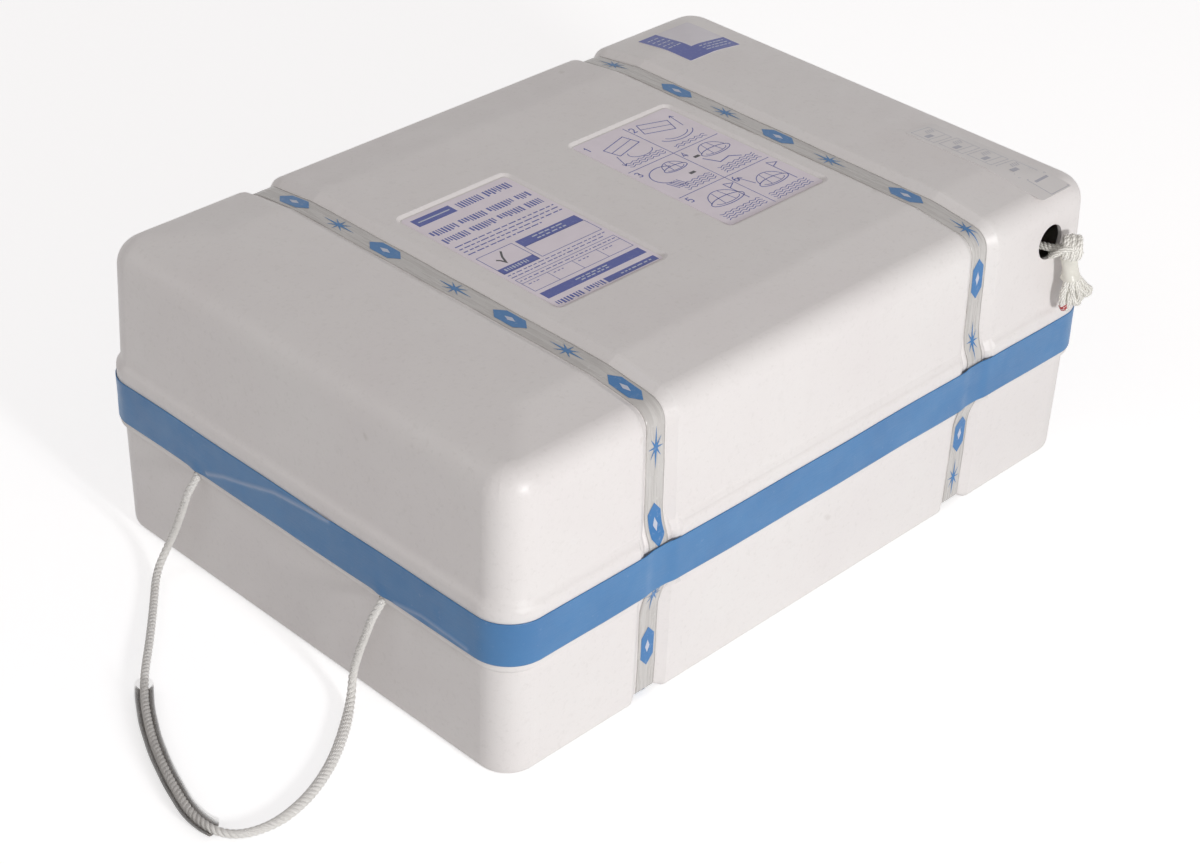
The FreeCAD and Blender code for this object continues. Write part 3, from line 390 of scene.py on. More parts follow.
# the second colour of each rope is the painted shade between its yarns
rope_white = laid_fibre("rope_fibre", (0.96, 0.945, 0.91), (0.72, 0.69, 0.64), 0.62)
painter_white = laid_fibre("painter_fibre", (0.93, 0.915, 0.86), (0.20, 0.18, 0.13), 0.27, 2.0, 9.0, 0.75)
whipping_tape = plain("whipping_tape", (0.80, 0.785, 0.71), 0.28, 180.0, 0.0002, 0.10)
red_thread = plain("red_thread", (0.45, 0.045, 0.05), 0.6, 900.0, 0.0002)
hose_clear = hazy_hose()
black_rubber = plain("black_rubber", (0.03, 0.03, 0.032), 0.7, 400.0)
steel = plain("cylinder_paint", (0.25, 0.27, 0.28), 0.4, 150.0)
webbing = plain("webbing", (0.05, 0.055, 0.06), 0.8, 700.0, 0.0003)
brass = plain("valve_brass", (0.62, 0.47, 0.22), 0.35, 200.0, Metallic=1.0)
raft_fabric = plain("raft_fabric", (0.62, 0.17, 0.03), 0.6, 500.0, 0.0003)
bag_fabric = plain("bag_fabric", (0.55, 0.30, 0.03), 0.75, 500.0, 0.0003)
paddle_plastic = plain("paddle_plastic", (0.62, 0.45, 0.05), 0.5, 200.0)

by_slot = {"shell": shell_white, "gasket": black_rubber, "seam_tape": blue_tape,
           "strap_tape": clear_tape, "label": label_film, "rope": rope_white,
           "grip": hose_clear, "painter": painter_white, "whipping": whipping_tape,
           "cylinder": steel, "webbing": webbing, "valve": brass, "hose": black_rubber,
           "inlet": black_rubber, "cable": steel, "raft": raft_fabric, "bag": bag_fabric,
           "bellows": black_rubber, "paddle": paddle_plastic}
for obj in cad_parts.values():
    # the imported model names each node's material after its slot
    names = [material.name for material in obj.data.materials if material]
    dress(obj, by_slot.get(names[0] if names else "shell", shell_white))
dress(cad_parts["strip_label"], thin_film)
dress(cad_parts["corner_label"], tinted_film)


def finish_piece(obj, material, slot, *nodes):
    """Material and body of a new piece, and hiding of the CAD nodes that it stands for. The slot argument is
    not used.
    """
    dress(obj, material)
    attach(obj, "root")
    if nodes:
        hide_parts(*nodes)
    return obj


def mark_points(obj, name, values):
    """A number for each point of a mesh, for its material to read."""
    field = obj.data.attributes.new(name, "FLOAT", "POINT")
    field.data.foreach_set("value", np.asarray(values, float).ravel())


def sleeve(name, outer, inner, flip=False):
    """Closed band from its outer and its inner rows of points."""
    rows = np.concatenate([outer, inner[:, ::-1]], 1)
    faces = grid_faces(*rows.shape[:2], True, True)
    if flip:
        faces = [tuple(reversed(face)) for face in faces]
    return mesh_object(name, rows.reshape(-1, 3), faces)


# ---- blue tape round the flange ----
GROOVE_DIP, GROOVE_DIP_HALF = 1.8, 14.0  # the tape sinks a little where it crosses a groove
LAP_LIFT = 0.7  # the tape's end over its start
LONG_CREASE = [(110, 124), (86, 133), (61, 139), (18, 151.5), (-20, 156), (-50, 158.5)]
SHORT_CREASE = [(-131, 120), (-163, 125.5), (-195, 124), (-216, 122.5)]


def flange_stations():
    """(x, y, normal x, normal y) round the flange face, closer on the ends and at the grooves."""
    stations = []
    straight_x, straight_y = HALF_X - FLANGE_CORNER, HALF_Y - FLANGE_CORNER
    even = np.arange(-straight_x, straight_x, 5.0)
    near = np.concatenate([g + np.arange(-32.0, 32.1, 2.0) for g in (-GROOVE_X, GROOVE_X)])
    clear = np.min(np.abs(even[:, None] - near[None]), 1) > 1.5
    along_x = np.unique(np.round(np.concatenate([even[clear], near]), 3))
    along_y = np.linspace(-straight_y, straight_y, 300, endpoint=False)
    turns = np.linspace(0.0, math.pi / 2.0, 22, endpoint=False)
    # each side's places, its normal, and the corner after it
    sides = [(along_x, (0.0, -1.0), (1, -1)), (along_y, (1.0, 0.0), (1, 1)),
             (-along_x, (0.0, 1.0), (-1, 1)), (-along_y, (-1.0, 0.0), (-1, -1))]
    for places, (nx, ny), (cx, cy) in sides:
        for place in places:
            x, y = (place, ny * HALF_Y) if nx == 0.0 else (nx * HALF_X, place)
            stations.append((x, y, nx, ny))
        for turn in math.atan2(ny, nx) + turns:
            c, d = math.cos(turn), math.sin(turn)
            stations.append((cx * straight_x + FLANGE_CORNER * c, cy * straight_y + FLANGE_CORNER * d, c, d))
    return np.array(stations)


def crease(y, z, points, width, height):
    """Ridge in the tape along a line of (y, z) points on the handle's end."""
    best = np.full(np.shape(y), 1e9)
    for (ya, za), (yb, zb) in zip(points, points[1:]):
        run = np.array([yb - ya, zb - za])
        size = float(run @ run)
        t = np.clip(((y - ya) * run[0] + (z - za) * run[1]) / size, 0.0, 1.0)
        best = np.minimum(best, np.hypot(y - ya - t * run[0], z - za - t * run[1]))
    return height * np.exp(-(best / width) ** 2)


def seam_band():
    """Blue tape with slight waves, two creases on the handle's end, and a lap on the painter's end."""
    stations = flange_stations()
    x, y, nx, ny = (stations[:, k][:, None] for k in range(4))
    zs = np.linspace(TAPE_LOW, TAPE_HIGH, 38)[None, :]
    along = distances(stations[:, :2])[:, None]
    wave = 0.35 * np.sin(along / 61.0) + 0.25 * np.sin(along / 23.0 + 1.3)
    lift = 0.21 + 0.10 * np.sin(along / 37.0 + zs / 9.0) + 0.06 * np.sin(along / 11.0 - zs / 5.0)
    handle_end, painter_end, long_side = nx < -0.95, nx > 0.95, np.abs(nx) < 0.05
    crease_ridge = handle_end * np.maximum(crease(y, zs, LONG_CREASE, 2.0, 1.0),
                                     crease(y, zs, SHORT_CREASE, 1.6, 0.8))
    lift = lift + crease_ridge
    for mouth in ROPE_MOUTHS:
        lift = lift + handle_end * 1.4 * np.exp(-((y - mouth) / 8.0) ** 2) * smooth_step(-zs, -131.0, -118.0)
    for groove in (-GROOVE_X, GROOVE_X):
        lift = lift - long_side * GROOVE_DIP * np.exp(-((x - groove) / GROOVE_DIP_HALF) ** 4)
    lap = painter_end * (smooth_step(y, -61.0, -60.0) - smooth_step(y, -14.0, -13.0))
    lift = lift + LAP_LIFT * lap
    z = zs + wave
    outer, inner = (np.stack([x + nx * out, y + ny * out, z], 2) for out in (lift + TAPE_THICK, lift))
    obj = sleeve("seam_band", outer, inner, flip=True)
    # the creases' ridge height, which the material paints as a pale highlight
    mark_points(obj, "crease_ridge", np.concatenate([crease_ridge, crease_ridge[:, ::-1]], 1))
    return finish_piece(obj, blue_tape, "seam_tape", "seam_tape")


seam_band()


# ---- tapes in the grooves ----
def inset_loop(points, depth):
    """Every side of a closed outline moved inwards by depth."""
    moved = []
    for i in range(len(points)):
        sides = []
        for a, b in ((points[i - 1], points[i]), (points[i], points[(i + 1) % len(points)])):
            along = np.subtract(b, a)
            inward = np.array([-along[1], along[0]]) / np.hypot(*along)
            sides.append((np.add(a, inward * depth), along))
        (a, u), (b, v) = sides
        t = ((b[0] - a[0]) * v[1] - (b[1] - a[1]) * v[0]) / (u[0] * v[1] - u[1] * v[0])
        moved.append(a + u * t)
    return moved


def rounded_loop(points, radii):
    """Closed outline with rounded corners, as evenly spaced points."""
    line = []
    for i, (corner, radius) in enumerate(zip(points, radii)):
        back, ahead = unit(points[i - 1] - corner), unit(points[(i + 1) % len(points)] - corner)
        half = math.acos(float(np.clip(back @ ahead, -1.0, 1.0))) / 2.0
        reach = radius / math.tan(half)
        middle = corner + unit(back + ahead) * radius / math.sin(half)
        first, last = corner + back * reach - middle, corner + ahead * reach - middle
        start, sweep = math.atan2(first[1], first[0]), math.pi - 2.0 * half
        sign = 1.0 if first[0] * last[1] - first[1] * last[0] > 0.0 else -1.0
        for t in np.linspace(0.0, 1.0, 13):
            angle = start + sign * sweep * t
            line.append(middle + radius * np.array([math.cos(angle), math.sin(angle)]))
    line = np.array(line + line[:1])
    along = distances(line)
    at = np.linspace(0.0, along[-1], int(along[-1] / LOOP_STEP) + 1)[:-1]
    return points_at(at, along, line)


class Girth:
    """The line round the casing on which a groove's tape lies, as (y, z), by the distance along it."""

    def __init__(self, depth):
        corners = GIRTH + [(-y, z) for y, z in reversed(GIRTH)]
        radii = [max(r - depth, 1.0) if r in OUTER_RADII else r for r in GIRTH_RADII]
        self.line = rounded_loop(inset_loop(corners, depth), radii + radii[::-1])
        self.closed = np.vstack([self.line, self.line[:1]])
        self.along = distances(self.closed)
        self.length = self.along[-1]

    def at(self, where):
        return points_at(np.mod(where, self.length), self.along, self.closed)

    def outward(self, where):
        ahead = unit(self.at(where + 1.0) - self.at(where - 1.0))
        return np.stack([ahead[..., 1], -ahead[..., 0]], -1)

    def nearest(self, mask, column, value):
        """Distance along to the point that comes nearest to a value, among those that a mask keeps."""
        return self.along[:-1][mask][np.argmin(np.abs(self.line[mask, column] - value))]

    def top(self, y):
        return self.nearest(self.line[:, 1] > 270.0, 0, y)

    def wall(self, z, side):
        return self.nearest(self.line[:, 0] * side > 230.0, 1, z)

    def rise(self, where):
        """How far the tape lifts from its groove where it crosses the flange."""
        y, z = np.moveaxis(self.at(where), -1, 0)
        near = smooth_step(z, 88.0, 117.0) * (1.0 - smooth_step(z, 161.0, 194.0))
        return FLANGE_RISE * near * (np.abs(y) > 200.0)


LOOP_STEP = 3.0
GIRTH = [(254.36, 0.0), (255.5, 108.5), (259.0, 117.5), (259.0, 166.5), (255.5, 175.5),
         (252.52, 289.4), (CROWN_Y, HEIGHT)]
GIRTH_RADII = [9.0, 40.0, 14.0, 14.0, 40.0, 24.0, 60.0]
OUTER_RADII = (9.0, 24.0)  # these corners get tighter with the groove's depth
girth = Girth(GROOVE_DEPTH)


def strap(name, x, phase, node):
    """Tape round the whole casing, a little uneven; returns the x of its middle line."""
    where = np.linspace(0.0, girth.length, 560, endpoint=False)
    across = np.linspace(-1.0, 1.0, 11)[None, :]
    cycle = 2.0 * math.pi / girth.length
    turn = (where * cycle)[:, None]
    lift = 0.12 + 0.08 * np.sin(turn * 23 + phase) * across + 0.08 * np.sin(turn * 61 + 5.0 * across)
    edge = STRAP_HALF + 0.25 * np.sin(turn * 17 + phase) * across
    xs = x + across * edge + 0.5 * np.sin(turn * 3 + phase)
    base, normal = girth.at(where), girth.outward(where)
    lift = lift + girth.rise(where)[:, None]
    sides = []
    for thick in (STRAP_THICK, 0.0):
        out = (thick + np.maximum(lift, 0.02))[..., None]
        sides.append(np.concatenate([xs[..., None], base[:, None, :] + normal[:, None, :] * out], 2))
    finish_piece(sleeve(name, *sides), clear_tape, "strap_tape", node)
    return lambda place: x + 0.5 * math.sin(place * cycle * 3 + phase)


def groove_saddle(name, x):
    """Raised floor of a groove where it crosses the flange, on both long sides."""
    tubes = []
    across = np.linspace(-17.0, 17.0, 7)
    for side in (1.0, -1.0):
        where = float(girth.wall(140.0, side)) + np.linspace(-62.0, 62.0, 63)
        base, normal = girth.at(where), girth.outward(where)
        upper = base + normal * (girth.rise(where)[:, None] - 0.25)
        lower = base - normal * 0.6
        rows = [[(x + u, *a) for u in across] + [(x + u, *b) for u in across[::-1]]
                for a, b in zip(upper, lower)]
        tubes.append(np.array(rows))
    return finish_piece(tube_object(name, tubes), shell_white, "shell")


EDGE_PARTS = 5
MARK_PITCH = 67.0
STRAP_PRINT_LIFT = 0.32  # clears the tape's own waves


def outline_motif(kind):
    """Flat outlines of a print, (along, across) in millimetres, and whether each is pale."""
    if kind == "lozenge":
        body = [(20.0, 0.0), (11.0, 7.4), (0.0, 7.4), (-11.0, 7.4),
                (-20.0, 0.0), (-11.0, -7.4), (0.0, -7.4), (11.0, -7.4)]
        window = [(6.5, 0.0), (0.0, 2.6), (-6.5, 0.0), (0.0, -2.6)]
        return [(body, False), (window, True)]
    reaches = (20.0, 3.6, 13.5, 2.6, 8.4, 2.6, 13.5, 3.6)
    flat = (1.0, 0.8, 0.62, 0.8, 1.0, 0.8, 0.62, 0.8)
    points = []
    for k in range(16):
        angle, reach = k * math.pi / 8.0, reaches[k % 8]
        points.append((reach * math.cos(angle), reach * math.sin(angle) * flat[k % 8]))
    return [(points, False)]


def slab(verts, faces, outline, place, high, rings=1):
    """Closed thin plate over a flat outline; place turns (u, v, height) into a point.

    More rings let the plate follow a surface that bends."""
    count, start = len(outline), len(verts)
    centre = (sum(p[0] for p in outline) / count, sum(p[1] for p in outline) / count)
    layer = count * rings + 1
    for h in (high + PRINT_THICK, high):
        for ring in range(rings, 0, -1):
            share = ring / rings
            verts.extend(place(centre[0] + (u - centre[0]) * share, centre[1] + (v - centre[1]) * share, h)
                         for u, v in outline)
        verts.append(place(centre[0], centre[1], h))
    for i in range(count):
        j = (i + 1) % count
        for ring in range(rings - 1):
            a, b = start + ring * count + i, start + ring * count + j
            faces.append((a, b, b + count, a + count))
            faces.append((b + layer, a + layer, a + layer + count, b + layer + count))
        a, b = start + (rings - 1) * count + i, start + (rings - 1) * count + j
        middle = start + layer - 1
        faces.append((a, b, middle))
        faces.append((b + layer, a + layer, middle + layer))
        faces.append((start + j, start + i, start + i + layer, start + j + layer))


def closer(outline):
    """The same outline with more points on each edge."""
    points = []
    for a, b in zip(outline, outline[1:] + outline[:1]):
        points += [tuple(np.add(a, np.subtract(b, a) * k / EDGE_PARTS)) for k in range(EDGE_PARTS)]
    return points


def strap_print(name, centre_of, marks):
    """Print on a strap tape: kind and place round the loop for each mark."""
    dark, pale = ([], []), ([], [])
    for kind, middle in marks:
        def place(u, v, h):
            where = middle + u
            lift = STRAP_THICK + STRAP_PRINT_LIFT + float(girth.rise(where)) + h
            return (centre_of(middle) + v, *(girth.at(where) + girth.outward(where) * lift))

        for outline, light in outline_motif(kind):
            verts, faces = pale if light else dark
            slab(verts, faces, closer(outline), place, 0.09 if light else 0.0, rings=6)
    finish_piece(mesh_object(name, dark[0], dark[1], smooth=False), strap_ink, "strap_tape")
    finish_piece(mesh_object(name + "_pale", pale[0], pale[1], smooth=False), pale_ink, "strap_tape")


def marks_round(first, top, wall):
    """Marks of both kinds in turn, from their y on the top and their height on the front wall.

    They go on at an even pitch over the sides that the photograph doesn't show."""
    kinds = ("lozenge", "star") if first == "lozenge" else ("star", "lozenge")
    places = [girth.top(y) for y in top] + [girth.wall(z, -1.0) for z in wall]
    marks = [(kinds[k % 2], place) for k, place in enumerate(places)]
    span, direction = (places[-1] - places[0]) % girth.length, -1.0
    if span > girth.length / 2.0:
        span, direction = girth.length - span, 1.0
    for k in range(1, int((girth.length - span) / MARK_PITCH - 0.6) + 1):
        marks.append((kinds[k % 2], places[0] + direction * k * MARK_PITCH))
    return marks


centre_left = strap("strap_left", -GROOVE_X, 0.4, "strap_tape_left")
centre_right = strap("strap_right", GROOVE_X, 2.1, "strap_tape_right")
groove_saddle("groove_saddle_left", -GROOVE_X)
groove_saddle("groove_saddle_right", GROOVE_X)
strap_print("strap_print_left", centre_left, marks_round(
    "lozenge", (193, 133, 72, -13, -80, -146, -213), (249, 178, 111, 54)))
strap_print("strap_print_right", centre_right, marks_round(
    "star", (204, 121, 59, -8, -70, -162, -229), (244, 180, 81, 34)))


# ---- print on the labels ----
class Print:
    """Flat print in one ink, gathered into one thin mesh."""

    def __init__(self, name, place, material, high=0.0):
        self.name, self.place, self.material, self.high = name, place, material, high
        self.verts, self.faces = [], []

    def bar(self, x0, x1, y0, y1, cell=8.0):
        """Filled rectangle, cut into cells so that it can follow a curved surface."""
        xs, ys = (np.linspace(a, b, max(int((b - a) / cell), 1) + 1) for a, b in ((x0, x1), (y0, y1)))
        for xa, xb in zip(xs, xs[1:]):
            for ya, yb in zip(ys, ys[1:]):
                cell_corners = [(xa, ya), (xb, ya), (xb, yb), (xa, yb)]
                slab(self.verts, self.faces, cell_corners, self.place, self.high)

    def stroke(self, points, width):
        """Line of even width through points."""
        points = np.array(points, float)
        ahead = unit(np.diff(points, axis=0))
        ahead = np.vstack([ahead[:1], (ahead[1:] + ahead[:-1]) / 2.0, ahead[-1:]])
        size = np.maximum(np.hypot(*ahead.T)[:, None], 0.35)
        side = np.stack([-ahead[:, 1], ahead[:, 0]], 1) / size ** 2 * width / 2.0
        start, count = len(self.verts), len(points)
        for h in (self.high + PRINT_THICK, self.high):
            self.verts.extend(self.place(u, v, h) for u, v in np.vstack([points + side, points - side]))
        low = 2 * count
        for i in range(start, start + count - 1):
            a, b, c, d = i, i + 1, i + count + 1, i + count
            self.faces += [(d, c, b, a), (a + low, b + low, c + low, d + low),
                           (a, b, b + low, a + low), (c, d, d + low, c + low)]
        last = start + count - 1
        self.faces += [(start, start + low, start + low + count, start + count),
                       (last + count, last + low + count, last + low, last)]

    def frame_line(self, x0, x1, y0, y1, width=0.6):
        """Rectangle drawn as four lines."""
        for a, b in (((x0, y0), (x1, y0)), ((x0, y1), (x1, y1)), ((x0, y0), (x0, y1)), ((x1, y0), (x1, y1))):
            self.stroke([a, b], width)

    def arc(self, cx, cy, rx, ry, start, end, width, steps=20):
        angles = np.radians(np.linspace(start, end, steps))
        self.stroke([(cx + rx * math.cos(a), cy + ry * math.sin(a)) for a in angles], width)

    def dashes(self, x0, x1, y, height, seed, longest=9.0):
        """Row of short dashes, where the real label has small words."""
        random = np.random.default_rng(seed)
        x = x0
        while x < x1 - 2.0:
            size = min(random.uniform(0.35, 1.0) * longest, x1 - x)
            self.bar(x, x + size, y - height / 2.0, y + height / 2.0, 20.0)
            x += size + random.uniform(1.2, 2.4)

    def ticks(self, x0, x1, y0, y1, seed):
        """Row of upright ticks in groups, where the real label has large words."""
        random = np.random.default_rng(seed)
        x, made = x0, 0
        while x < x1 - 2.0:
            wide = random.uniform(1.1, 2.3)
            drop = random.choice([0.0, 0.0, 0.25]) * (y1 - y0)
            self.bar(x, x + wide, y0 + drop, y1, 20.0)
            made += 1
            x += wide + (5.0 if made % 9 == 0 else 1.5)

    def done(self):
        finish_piece(mesh_object(self.name, self.verts, self.faces, smooth=False), self.material, "label")


# strokes of the plain figures that number the panels, in a unit square
NUMERALS = {
    1: [[(0.2, 0.75), (0.5, 1.0), (0.5, 0.0)]],
    2: [[(0.08, 0.78), (0.2, 0.95), (0.5, 1.0), (0.82, 0.9), (0.88, 0.68), (0.7, 0.45),
         (0.1, 0.0), (0.92, 0.0)]],
    3: [[(0.1, 0.88), (0.4, 1.0), (0.78, 0.92), (0.85, 0.7), (0.65, 0.54), (0.4, 0.52)],
        [(0.4, 0.52), (0.72, 0.48), (0.92, 0.28), (0.8, 0.06), (0.45, 0.0), (0.08, 0.14)]],
    4: [[(0.72, 0.0), (0.72, 1.0), (0.08, 0.3), (0.98, 0.3)]],
    5: [[(0.85, 1.0), (0.2, 1.0), (0.14, 0.55), (0.5, 0.63), (0.86, 0.5), (0.9, 0.22),
         (0.6, 0.0), (0.1, 0.08)]],
    6: [[(0.8, 0.98), (0.45, 0.9), (0.18, 0.6), (0.1, 0.3), (0.25, 0.05), (0.55, 0.0), (0.85, 0.12),
         (0.9, 0.35), (0.7, 0.52), (0.4, 0.52), (0.14, 0.36)]],
}


def numeral(art, value, x, y, height, width):
    for line in NUMERALS[value]:
        art.stroke([(x + u * height * 0.62, y + v * height) for u, v in line], width)


def on_recess(u, v, h):
    return (u, v, LABEL_TOP + PRINT_LIFT + h)


def on_crown(u, v, h):
    return (u, v, crown_z(u, v) + FILM + PRINT_LIFT + h)


def data_print():
    """Left label: title rows, a table, and blue fields with pale rows in them."""
    blue = Print("data_print", on_recess, label_ink)
    pale = Print("data_print_pale", on_recess, pale_ink, OVERPRINT)
    x0, x1 = -162.0, -46.0
    blue.bar(-160, -116, 79, 92)
    pale.stroke([(-156, 85.5), (-120, 85.5)], 1.6)
    for left, low, high, seed in ((-110, 80, 90, 3), (x0, 57, 66, 4), (x0, 41, 50, 5)):
        blue.ticks(left, x1, low, high, seed)
    for row, y in enumerate((32, 26.5, 21, 15.5)):
        blue.dashes(x0, x1 - (row == 3) * 30.0, y, 1.3, 10 + row)
    blue.frame_line(x0, -121, -29, 6)
    blue.bar(-117, x1, -6, 6)
    pale.dashes(-100, -62, 2.4, 1.6, 21, 7.0)
    pale.dashes(-98, -64, -2.2, 1.6, 22, 7.0)
    blue.frame_line(-117, x1, -28, -6)
    blue.bar(x0, -121, -29, -20)
    pale.ticks(-157, -127, -26.6, -22.4, 23)
    for row, y in enumerate((-33, -37.5)):
        blue.dashes(x0, x1 - 8.0 * row, y, 1.0, 30 + row, 7.0)
    blue.frame_line(x0, x1, -66, -42, 0.5)
    blue.stroke([(x0, -50), (x1, -50)], 0.5)
    blue.dashes(x0 + 2, x1 - 2, -46, 1.0, 34, 6.0)
    for x in (-133, -104, -75):
        blue.stroke([(x, -50), (x, -66)], 0.5)
    for x in (-158, -129, -100, -71):
        blue.dashes(x, x + 12, -54, 0.9, 40 + int(-x), 4.0)
    blue.bar(x0, x1, -82, -71)
    pale.dashes(-124, -84, -74.8, 1.4, 51, 6.0)
    pale.dashes(-120, -88, -78.2, 1.4, 52, 6.0)
    blue.ticks(x0, -108, -96, -89, 53)
    blue.bar(-106, x1, -96.5, -89)
    pale.dashes(-88, -50, -92.8, 1.5, 54, 6.0)
    blue.done()
    pale.done()
    hand = Print("data_tick", on_recess, dark_ink)
    hand.stroke([(-151, -7), (-148.5, -9.5), (-146.5, -14.5), (-143, -6), (-137.5, 2)], 1.9)
    hand.done()


def instruction_print():
    """Right label: six numbered panels with plain line drawings of a box, a dome and waves."""
    art = Print("instruction_print", on_recess, label_ink)
    dark = Print("instruction_dark", on_recess, dark_ink)
    x0, x1, mid = 45.0, 163.0, 104.0
    rows = (94.0, 29.0, -34.0, -95.0)
    for y in rows[1:3]:
        art.stroke([(x0, y), (x1, y)], 0.7)
    art.stroke([(mid, rows[0]), (mid, rows[3])], 0.7)
    for k in range(6):
        column, row = k % 2, k // 2
        numeral(art, k + 1, (x0 + 2.0) + column * (mid - x0), rows[row] - 13.0, 8.5, 1.1)

    def waves(cx, cy, wide, count=3):
        for r in range(count):
            xs = np.linspace(cx - wide / 2.0, cx + wide / 2.0, 19)
            art.stroke([(x, cy - 3.4 * r + 1.2 * math.sin(x * 0.8 + r)) for x in xs], 0.7)

    def dome(cx, cy, size):
        art.arc(cx, cy, size, size * 0.34, 0, 360, 0.9, 30)
        art.arc(cx, cy + 1.0, size * 0.86, size * 0.85, 5, 175, 0.8)
        art.arc(cx, cy, size * 0.72, size * 0.22, 180, 360, 0.7)
        for half in (-size, size):
            art.stroke([(cx + half * 0.2, cy + size * 0.83), (cx + half * 0.34, cy - size * 0.2)], 0.7)

    def box(cx, cy, wide, tall, lean):
        c, d = math.cos(lean), math.sin(lean)
        art.stroke([(cx + c * u - d * v, cy + d * u + c * v) for u, v in
                    ((-wide, -tall), (wide, -tall), (wide, tall), (-wide, tall), (-wide, -tall))], 0.9)
        art.stroke([(cx - c * wide, cy - d * wide), (cx + c * wide, cy + d * wide)], 0.7)

    def arrow(xa, ya, xb, yb):
        along = np.array([xb - xa, yb - ya]) / math.hypot(xb - xa, yb - ya)
        side = np.array([-along[1], along[0]])
        art.stroke([(xa, ya), (xb, yb)], 0.8)
        for sign in (-1.0, 1.0):
            tip = np.array([xb, yb]) - along * 4.0 + side * sign * 2.4
            art.stroke([(xb, yb), tuple(tip)], 0.8)

    box(78, 70, 17, 9, 0.25)
    arrow(60, 58, 54, 40)
    art.arc(84, 52, 14, 8, 150, 350, 0.8)
    waves(78, 42, 46)
    box(130, 76, 16, 9, -0.35)
    art.arc(134, 56, 21, 12, 195, 345, 0.9)
    art.arc(134, 56, 15, 8, 195, 345, 0.8)
    arrow(152, 62, 156, 84)
    waves(134, 38, 40, 2)
    art.arc(70, 4, 18, 15, 40, 250, 1.0)
    for k in range(5):
        art.stroke([(56 + 3 * k, -8), (60 + 3 * k, -21)], 0.9)
    dome(85, 8, 14)
    dark.bar(86, 93, -10, -6.5)
    waves(82, -18, 38, 4)
    dome(138, 8, 18)
    dark.bar(112, 119, 9, 12.5)
    art.stroke([(116, 4), (124, -11), (138, -8), (148, -15)], 1.1)
    waves(136, -18, 46, 4)
    dome(76, -64, 20)
    art.stroke([(93, -42), (93, -74)], 0.9)
    art.stroke([(93, -42), (102, -46), (93, -51)], 0.9)
    waves(74, -80, 50, 4)
    dome(134, -67, 18)
    art.stroke([(153, -40), (153, -78)], 0.9)
    art.stroke([(153, -40), (162, -45), (153, -49)], 0.9)
    arrow(117, -60, 112, -42)
    waves(134, -82, 48, 4)
    art.done()
    dark.done()


def corner_print():
    """Corner label: two blue bands that meet, with rows of pale dashes."""
    blue = Print("corner_print", on_crown, label_ink)
    pale = Print("corner_print_pale", on_crown, pale_ink, OVERPRINT)
    blue.bar(255.6, 280, 149.6, 220.6, 5.0)
    blue.bar(280, 326.6, 149.6, 172, 5.0)
    for k, y in enumerate((212, 205, 198, 191, 184)):
        pale.dashes(260, 277, y, 1.4, 60 + k, 6.0)
    for k, y in enumerate((167, 162, 157)):
        pale.dashes(286, 321, y, 1.2, 70 + k, 7.0)
    blue.done()
    pale.done()


def strip_print():
    """Strip label: faint line drawings in a row, with an empty box at its end."""
    art = Print("strip_print", on_crown, faint_ink)
    for k, y in enumerate((-92, -123, -154, -185)):
        x = 297.0 + 2.5 * k
        art.frame_line(x, x + 27, y - 27, y, 0.5)
        art.stroke([(x + 1, y - 20), (x + 26, y - 20)], 0.5)
        art.bar(x + 4, x + 14, y - 17, y - 12)
        for n in range(4):
            art.stroke([(x + 13 + 3 * n, y - 10), (x + 16 + 3 * n, y - 4)], 0.9)
    art.frame_line(308, 334, -246, -218, 0.6)
    art.bar(312, 330, -226, -223)
    art.done()


data_print()
instruction_print()
corner_print()
strip_print()

# ---- rope handle ----
ROPE = 7.0
SLACK_SPREAD = 0.34  # extra share of the rope's width where it lies slack
STRANDS, STRAND_SIDES = 3, 10
STRAND_SHARE = 0.53  # a strand's radius over the rope's
ROPE_ROUTE = [(-367.77, 127, 117.68), (-384.24, 127, 103.86), (-383, 141, 73), (-382, 155, 44),
              (-384, 168, 17), (-402, 160, 4.6), (-432, 124, 3.8), (-466, 84, 5.2), (-497, 50, 6.0),
              (-522, 16, 5.8), (-545, -27, 5.8), (-563, -74, 5.8), (-576, -121, 6.0), (-568, -154, 5.2),
              (-536, -166, 3.8), (-498, -161, 3.8), (-459, -144, 3.8), (-423, -119, 3.8),
              (-392, -92, 4.8), (-382, -83, 24), (-382, -92, 52), (-382, -102, 77),
              (-384.24, -114, 103.86), (-367.77, -114, 117.68)]


def twisted_rope(name, line, diameter, pitch, step=0.7, spread=None):
    """Laid rope: strands that wind round a line, with each point's lay for the material.

    spread gives the width over the height of the rope where it lies slack, from the length along it."""
    points, at = resample(line, step)
    widen = spread(at) if spread else np.ones(len(at))
    radius = diameter / 2.0
    strand = radius * STRAND_SHARE
    first, second = frames_along(points)
    angle = circle(STRAND_SIDES)
    level = points[:, None, :2]
    tubes, lay = [], []
    for k in range(STRANDS):
        turn = 2.0 * math.pi * (at / pitch + k / STRANDS)[:, None]
        middle = points + (radius - strand) * (np.cos(turn) * first + np.sin(turn) * second)
        rows = tube_rows(middle, np.full(len(middle), strand), STRAND_SIDES)
        rows[..., :2] = level + (rows[..., :2] - level) * widen[:, None, None]
        tubes.append(rows)
        ring = np.stack(np.broadcast_arrays(np.cos(angle)[None], np.sin(angle)[None], at[:, None]), 2)
        lay += [ring.reshape(-1, 3), [[1.0, 0.0, 0.0], [1.0, 0.0, at[-1]]]]
    obj = tube_object(name, tubes)
    field = obj.data.attributes.new("lay", "FLOAT_VECTOR", "POINT")
    field.data.foreach_set("vector", np.concatenate([np.asarray(p, float) for p in lay]).ravel())
    return obj, points


def smooth_line(name, route):
    """Points of the smooth curve whose control points are the route's."""
    guide = nurbs(name, route)
    line = line_of(guide)
    bpy.data.objects.remove(guide)
    return line


